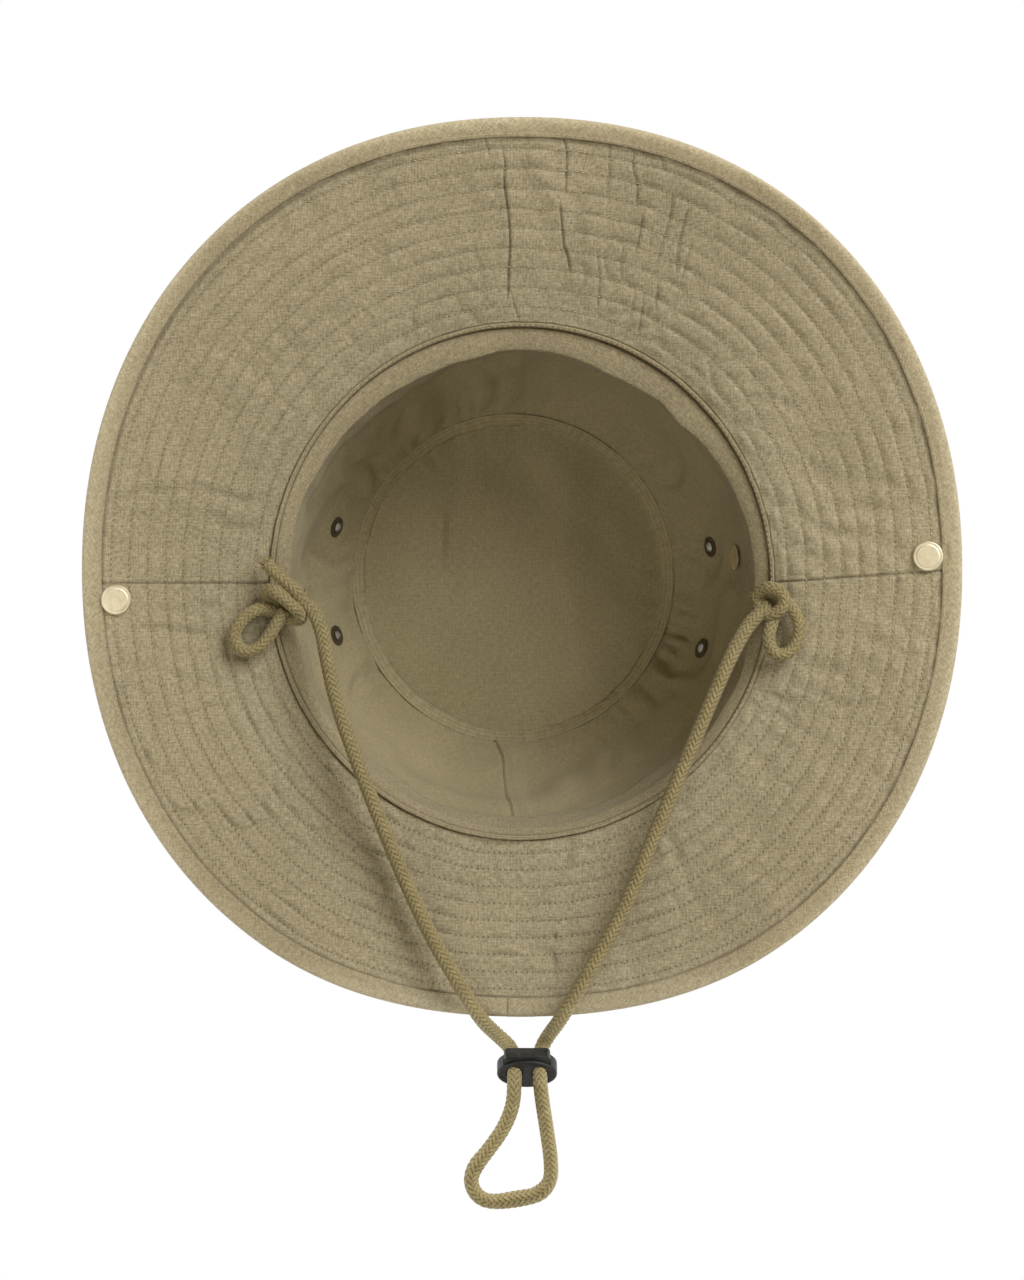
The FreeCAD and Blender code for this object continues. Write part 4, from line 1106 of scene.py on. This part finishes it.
def wall_folds(t, height):
    """Return how far the wall's cloth stands out: soft folds, gathers at the tip seam, and the back seam."""
    t, height = np.broadcast_arrays(np.asarray(t, float), np.asarray(height, float))
    around = t / TURN
    half = wall_half(height)
    upper = smooth_step(height, 22, 52)
    soft = 3.2 * ring_noise(around, 11, height / 34, 81) * upper
    soft += 2.1 * ring_noise(around, 27, height / 19, 82) * upper
    soft += 0.7 * ring_noise(around, 64, height / 9, 83) * smooth_step(height, 8, 30)
    gather = 1 - np.abs(ring_noise(around, 84, height / 30, 84))
    patch = 0.35 + 0.65 * smooth_step(ring_noise(around, 13, 0.5, 85), -0.5, 0.5)
    total = soft + 2.3 * (gather ** 3 - 0.4) * smooth_step(height, 70, 91) * patch
    degrees = np.degrees(t) % 360
    for depth, width, line in WALL_FOLDS:
        line = np.array(line, float)
        middle = line[:, 0].mean()
        flat = np.stack([((degrees - middle + 180) % 360 - 180) * half * math.pi / 180, height], -1)
        own = np.stack([(line[:, 0] - middle) * (wall_half(line[:, 1]) * math.pi / 180), line[:, 1]], -1)
        distance, place = line_distance(flat, own)
        taper = np.sqrt(np.clip(np.minimum(place * 8, (1 - place) * 2.5), 0, 1))
        total = total + depth * taper * (np.exp(-(distance / width) ** 1.6)
                                         - 0.55 * bump(distance - width * 2.4, width * 1.4))
    beside = ((t - seam_bearing(height) + math.pi) % TURN - math.pi) * half
    lap = -0.75 * smooth_step(beside, -0.35, 0.15) * (1 - smooth_step(beside, 5.5, 8.5))
    pull = 0.55 * bump(beside, 1.3) * (beside < 0) + 0.25 * bump(beside - 2.0, 0.7)
    seam = (lap + pull) * smooth_step(height, 6, 12) * (1 - smooth_step(height, 90, WALL_TOP))
    return total * (1 - smooth_step(height, 84, 92)) * hardware_room(wall_point(t, height)) + seam


def wall_face(t, height, out):
    """Return points on the wall as it really lies, moved out of its inner face."""
    return wall_point(t, height, wall_folds(t, height) + out)


def wall_normal(t, height, out):
    """Return the wall's normal, away from it on the side that out is on."""
    return unit(wall_point(t, height, np.sign(out)) - wall_point(t, height))


def open_at(points_low, points_top, centres, radius):
    """Return the points and faces of a double wall all round, with round openings that have closed rims."""
    rows, columns = points_low.shape[:2]
    second = rows * columns
    quads = np.array(grid_faces(rows, columns, wrap_rows=True))
    flat = points_low.reshape(-1, 3)
    middle = flat[quads].mean(1)
    open_face = np.zeros(len(quads), bool)
    for centre in centres:
        open_face |= np.linalg.norm(middle - centre, axis=1) < radius
    kept = quads[~open_face]
    faces = kept.tolist() + (kept[:, ::-1] + second).tolist()
    edges = np.concatenate([kept[:, [i, (i + 1) % 4]] for i in range(4)])
    ordered = np.sort(edges, axis=1)
    key = ordered[:, 0].astype(np.int64) * second + ordered[:, 1]
    _, first, count = np.unique(key, return_index=True, return_counts=True)
    rim = edges[first[count == 1]]
    faces += np.stack([rim[:, 1], rim[:, 0], rim[:, 0] + second, rim[:, 1] + second], -1).tolist()
    return np.concatenate([flat, points_top.reshape(-1, 3)]), faces


def ring_columns(spacing, half, fine_at=()):
    """Return bearings round a ring, closer together near some of them."""
    t = np.linspace(-math.pi, math.pi, 6001)
    near = np.zeros(len(t) - 1, bool)
    for place in fine_at:
        near |= np.abs((t[1:] - place + math.pi) % TURN - math.pi) * half < 5
    return spread(t, (t[1] - t[0]) * half / np.where(near, 0.4, spacing))[:-1]


def ring_mesh(name, grid, material, cloth):
    """Make a closed mesh from sections all round the hat; cloth is their uv in millimetres."""
    faces = grid_faces(*grid.shape[:2], wrap_rows=True, wrap_columns=True)
    return orient(add_mesh(name, grid * MM, faces, material, np.stack(cloth, -1) * MM))


def crown_wall():
    columns = ring_columns(1.55, 84, fine_at=(0.0, math.radians(71)))
    t, height = mesh_grid(columns, np.concatenate([np.linspace(0.6, 70, 46), np.linspace(71, WALL_TOP, 26)]))
    t = t + seam_bearing(height) * bump(t, 0.5)
    folds = wall_folds(t, height)
    inner, outer = wall_point(t, height, folds), wall_point(t, height, folds + CLOTH)
    points, faces = open_at(inner, outer, [centre_of(node) for node in EYELETS], EYELET_OPENING)
    cloth = np.stack([t * WALL_RADIUS, height], -1).reshape(-1, 2)
    cloth = np.concatenate([cloth, cloth])
    return orient(add_mesh("crown_wall_cloth", points * MM, faces, crown_cloth, cloth * MM))


def tip_height(x, y):
    """Return the height of the tip's underside: a little slack, with soft folds and a gathered rim."""
    radius = np.hypot(x, y / CROWN_STRETCH)
    slack = -1.3 * (1 - (radius / TIP_HALF) ** 2)
    soft = 1.9 * smooth_noise(x / 24 + 9, y / 38 + 9, 91) + 0.7 * smooth_noise(x / 11 + 20, y / 17 + 20, 92)
    folds = (2.2 * bump(x + 24 + 0.08 * y, 5.0) * bump(y + 12, 26)
             + 1.5 * bump(x - 12 - 0.1 * y, 6) * bump(y - 20, 25))
    gather = (1 - np.abs(ring_noise(np.arctan2(x, y) / TURN, 84, 0.7, 84))) ** 3
    rim = smooth_step(radius, 45, TIP_HALF - 1)
    return (SEAM_HEIGHT + TIP_HEIGHT + slack + (soft + folds) * (1 - 0.6 * rim) + 0.75 * (gather - 0.4) * rim
            - 1.1 * smooth_step(radius, 57.5, TIP_HALF))


def crown_tip():
    radii = np.concatenate([np.linspace(0.6, 44, 30), np.linspace(45.2, TIP_HALF, 18)])
    t, radius = mesh_grid(ring_columns(1.5, TIP_RADIUS), radii)
    x, y = radius * np.sin(t), radius * np.cos(t) * CROWN_STRETCH
    low = np.stack([x + TIP_LEAN[0], y + CROWN_CENTRE + TIP_LEAN[1], tip_height(x, y)], -1)
    top = low + np.array([0, 0, CLOTH])
    (rows, width), count = t.shape, t.size
    faces = grid_faces(rows, width, wrap_rows=True)
    faces += [face[::-1] for face in grid_faces(rows, width, wrap_rows=True, start=count)]
    first = np.arange(rows) * width
    edge = first + width - 1
    following = np.roll(edge, -1)
    faces += np.stack([edge, following, following + count, edge + count], -1).tolist()
    faces += [first.tolist(), (first + count).tolist()[::-1]]
    points = np.concatenate([low.reshape(-1, 3), top.reshape(-1, 3)])
    return orient(add_mesh("crown_tip_cloth", points * MM, faces, crown_cloth, points[:, :2] * MM))


def tip_seam():
    """Lay the turned-in seam allowance round the tip, puckered."""
    t = ring_columns(0.9, TIP_RADIUS)
    around = t / TURN
    pucker = ring_noise(around, 84, 0.5, 93) * 0.5 + ring_noise(around, 210, 0.5, 94) * 0.3
    patch = smooth_step(ring_noise(around, 9, 0.5, 95), -0.3, 0.6)
    line = crown_ring(t, TIP_SEAM_HALF - 0.9 * pucker * (0.3 + patch), TIP_SEAM_Z + 0.7 * pucker) + TIP_LEAN
    turn = np.arange(10) / 10 * TURN
    across = np.cos(turn)[None] * (2.7 + 0.8 * patch + 0.6 * pucker)[:, None]
    ring = (outward_at(t, 0.0)[:, None] * across[..., None] * 0.8
            + np.array([0, 0, 1.0]) * (across * -0.75 + np.sin(turn)[None] * 0.62)[..., None])
    cloth = mesh_grid(t * TIP_RADIUS, turn * 0.8)
    return ring_mesh("tip_seam_allowance", line[:, None] + ring, crown_cloth, cloth)


def wall_stitches():
    """Sew the tip seam, the back seam and the topstitching of the crown, inside and out."""
    line = StitchLine()
    count = int(TURN * TIP_STITCH_RADIUS / STITCH)
    place = np.arange(count) / count * TURN
    for out in (-0.12, CLOTH + 0.12):
        ends = [wall_face(place + part * (TURN / count), TIP_STITCH_HEIGHT, out) for part in STITCH_PARTS]
        line.add(*ends, wall_normal(place, TIP_STITCH_HEIGHT, out), 0.26, 0.2)
    heights = np.arange(10, 89, STITCH)
    for beside, out in ((1.9, -0.1), (1.9, CLOTH + 0.1), (-2.2, CLOTH + 0.1)):
        ends = []
        for part in STITCH_PARTS:
            height = heights + part * STITCH
            t = seam_bearing(height) + beside / wall_half(height)
            ends.append(wall_face(t, height, out))
        line.add(*ends, wall_normal(t, height, out))
    return line.sewn("crown_stitches")


# How far the sweatband's roll reaches in over the opening's edge, with its height over the seam.
BAND_PROFILE = ((0.15, -0.95), (0.45, -1.25), (0.95, -1.15), (1.35, -0.75), (1.62, 0.10), (1.80, 1.20))
BAND_TOP = 26.5
LEDGE_SHARE = 0.36
BAND_STITCH_RADIUS, BAND_STITCH_IN, BAND_STITCH_LOW = 89.6, 1.25, 0.98


def sweatband_inside(t, share):
    """Return the sweatband's face: rolled out over the opening's edge below, puckered at its top."""
    around = t / TURN
    top = BAND_TOP + 1.8 * ring_noise(around, 23, 0.5, 101) + 1.0 * ring_noise(around, 61, 0.5, 102)
    ledge = (5.6 - 3.4 * np.cos(t)) * (
        1 + 0.42 * ring_noise(around, 17, 0.5, 108) + 0.22 * ring_noise(around, 43, 0.5, 109))
    flat_share = np.clip(share / LEDGE_SHARE, 0, 1)
    steep_share = np.clip((share - LEDGE_SHARE) / (1 - LEDGE_SHARE), 0, 1)
    foot = 1.2 + 2.6 * flat_share ** 1.6
    height = foot + (top - 6 - foot) * steep_share
    wave = 1.1 * ring_noise(around, 29, share * 1.2, 103) + 0.6 * ring_noise(around, 72, share * 2.0, 104)
    fine = 0.12 * ring_noise(around, 240, share * 9, 105)
    inward = ledge * flat_share ** 0.8 * (1 - 0.3 * steep_share) + wave * smooth_step(share, 0.25, 0.8)
    inset = 0.2 + CLOTH + np.maximum(inward, 0) + fine * smooth_step(share, 0, 0.1)
    return wall_point(t, height, -inset)


def sweatband():
    columns = ring_columns(1.2, 90)
    t, share = mesh_grid(columns, np.linspace(0, 1, 34))
    face = sweatband_inside(t, share)
    away = shell_normals(face)
    away *= np.sign(np.sum(away * outward_at(t, 0.8), axis=-1, keepdims=True))
    back = face + 0.7 * away
    wobble = 0.12 * ring_noise(columns / TURN, 130, 0.5, 106)
    loop = [ring_point(columns, OPENING[0] - inward + wobble, OPENING[1] - inward + wobble,
                       SEAM_HEIGHT + height) for inward, height in BAND_PROFILE]
    closing = loop[0] * 0.5 + loop[-1] * 0.5 + np.array([0, 0, 0.55])
    last = face.shape[1] - 1
    loop += [face[:, i] for i in range(last + 1)] + [back[:, i] for i in range(last, -1, -3)] + [closing]
    grid = np.stack(loop, 1)
    cloth = mesh_grid(columns * BAND_RADIUS, lengths_along(grid[0]))
    return ring_mesh("sweatband_cloth", grid, band_cloth, cloth)


def sweatband_stitches():
    line = StitchLine()
    count = int(TURN * BAND_STITCH_RADIUS / STITCH)
    place = np.arange(count) / count * TURN
    ends = [ring_point(place + part * TURN / count, OPENING[0] - BAND_STITCH_IN, OPENING[1] - BAND_STITCH_IN,
                       SEAM_HEIGHT - BAND_STITCH_LOW) for part in LONG_STITCH_PARTS]
    line.add(*ends, unit(-outward_at(place, 1.3)), 0.25, 0.2)
    return line.sewn("sweatband_stitches")


LOOP_LOW, LOOP_HIGH = 6.0, 27.0
TACKS = 14
TACK_PITCH, TACK_HALF = 0.62, 1.1


def loop_point(t, height, out):
    return crown_ring(t, 90.6 - (height - 2.7) * 0.17 + out, SEAM_HEIGHT + height)


def branch_loops():
    """Wrap a webbing band round the crown, tacked down so that it stands in shallow loops."""
    t, height = mesh_grid(ring_columns(1.2, LOOP_RADIUS), np.linspace(LOOP_LOW, LOOP_HIGH, 20))
    tack = (t / TURN * TACKS + 0.5) % 1
    stand = 1.1 * np.sin(math.pi * tack) ** 1.2 + 0.15 * ring_noise(t / TURN, 50, height / 8, 111)
    inner = loop_point(t, height, 1.35 + stand)
    outer = loop_point(t, height, 2.45 + stand + 0.10 * np.cos(height * 2.1))
    cloth = [np.concatenate([t, t], 1) * LOOP_RADIUS, np.concatenate([height, height[:, ::-1] + 30], 1)]
    return ring_mesh("branch_loop_webbing", np.concatenate([outer, inner[:, ::-1]], 1), webbing, cloth)


def bar_tacks():
    line = StitchLine()
    for number in range(TACKS):
        middle = (number + 0.5) / TACKS * TURN
        for level in np.arange(LOOP_LOW + 1.0, LOOP_HIGH - 0.8, TACK_PITCH):
            ends = [loop_point(middle + across / LOOP_RADIUS, level, 2.62)
                    for across in (-TACK_HALF, TACK_HALF)]
            line.add(*ends, outward_at(middle, 0.1), 0.24, 0.22)
    return line.sewn("bar_tacks")


def crown():
    for build, slot, node, sheet in (
            (crown_wall, "hat_cloth", "crown_side", {"flat": (0.56, 0.098), "area": 0.049}),
            (crown_tip, "hat_cloth", "crown_tip", {"flat": (0.122, 0.125), "area": 0.0119}),
            (tip_seam, "hat_cloth", None, None),
            (wall_stitches, "hat_cloth", None, None),
            (sweatband, "sweatband_cloth", "sweatband", {"flat": (0.565, 0.032)}),
            (sweatband_stitches, "sweatband_cloth", None, None),
            (branch_loops, "loop_webbing", "branch_loop_band", {"flat": (0.585, 0.0215)}),
            (bar_tacks, "loop_webbing", None, None)):
        item = build()
        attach(item, "crown")
        if node:
            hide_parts(node)


crown()


# ---------------------------------------------------------------- knots

LEFT_KNOT = (
    (-91.6, -2.0, 8.6), (-88.0, 1.4, 8.2), (-84.4, 4.6, 7.0), (-80.0, 8.2, 6.3), (-78.2, 12.4, 8.2),
    (-80.6, 15.8, 11.4), (-85.6, 15.0, 13.8), (-90.4, 11.4, 12.6), (-92.2, 7.2, 9.2), (-88.8, 7.6, 6.0),
    (-83.6, 11.6, 5.4), (-79.2, 15.6, 6.6), (-79.0, 18.4, 9.6), (-83.4, 18.0, 11.8), (-89.0, 14.6, 11.6),
    (-93.8, 13.6, 9.5), (-100.6, 18.0, 8.8), (-103.6, 24.2, 8.6), (-100.4, 29.6, 8.5), (-94.4, 28.8, 8.4),
    (-90.0, 23.4, 8.4), (-85.2, 15.0, 9.2))
RIGHT_KNOT = (
    (83.6, 10.0, 12.4), (85.8, 7.0, 9.4), (89.6, 6.4, 6.8), (93.6, 9.0, 6.2), (93.6, 13.4, 6.4),
    (89.6, 16.6, 7.6), (85.4, 15.4, 9.6), (84.6, 11.2, 12.4), (88.2, 8.4, 13.6), (92.8, 10.0, 11.6),
    (96.0, 13.4, 9.2), (99.2, 18.0, 8.8), (99.2, 24.6, 8.6), (95.6, 30.4, 8.5), (90.0, 30.8, 8.4),
    (87.8, 25.4, 8.4), (88.9, 20.0, 8.4), (90.6, 16.4, 9.6))


KNOT_RADIUS = 2.45 * MM
FRAYED_YARNS = 26
GOLDEN_ANGLE = 2.399963


def fray(name, end, toward):
    """Spread the loose ends of the yarns at a cut end of cord."""
    end, toward = np.array(end) * MM, unit(np.array(toward, float))
    side = unit(np.cross(toward, (0, 0, 1.0)))
    up = np.cross(side, toward)
    share = np.linspace(0, 1, 7)[:, None]
    parts = Gathered()
    for yarn in range(FRAYED_YARNS):
        angle = yarn * GOLDEN_ANGLE
        reach = math.sqrt((yarn + 0.5) / FRAYED_YARNS)
        away = side * math.cos(angle) + up * math.sin(angle)
        length = (3.0 + 1.4 * math.sin(yarn * 1.7)) * MM
        line = (end - toward * 1.2 * MM + away * reach * 1.9 * MM + toward * length * share
                + away * reach * 1.3 * MM * share ** 2 + up * 0.35 * MM * np.sin(share * 5 + yarn))
        line[:, 2] = np.maximum(line[:, 2], 1.0 * MM)
        size = 0.30 * MM * (1 - 0.65 * share[:, 0])
        parts.keep_tube(line, size, size, np.tile(up, (len(line), 1)), 5)
    return parts.mesh(name, cord_yarn)


def knots():
    pieces = []
    for side, route, nodes in (("left", LEFT_KNOT, ("knot", "knot_bight", "knot_tail", "cord_anchor")),
                               ("right", RIGHT_KNOT, ("knot", "knot_bight", "cord_anchor"))):
        knot = braid(side + "_knot_braid", route_points(side + "_knot_route", route), KNOT_RADIUS)
        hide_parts(*(f"{side}_{node}" for node in nodes))
        pieces.append(knot)
        if side == "left":
            pieces.append(fray("left_knot_fray", route[0], np.array(route[0]) - route[1]))
    for item in pieces:
        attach(item, "crown")
    return pieces


["lock_barrel", "lock_plunger"] + knots()
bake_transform(cord)


# ---------------------------------------------------------------- carried-over metal and plastic

def paint(names, material):
    for name in names:
        item = frame["nodes"][name]
        item.data.materials.clear()
        item.data.materials.append(material)


every = list(frame["nodes"])
paint([name for name in every if "snap" in name], brass)
paint([name for name in every if "eyelet" in name], eyelet_brass)
paint(["lock_barrel", "lock_plunger"], black_plastic)
paint(["lock_spring"], spring_steel)
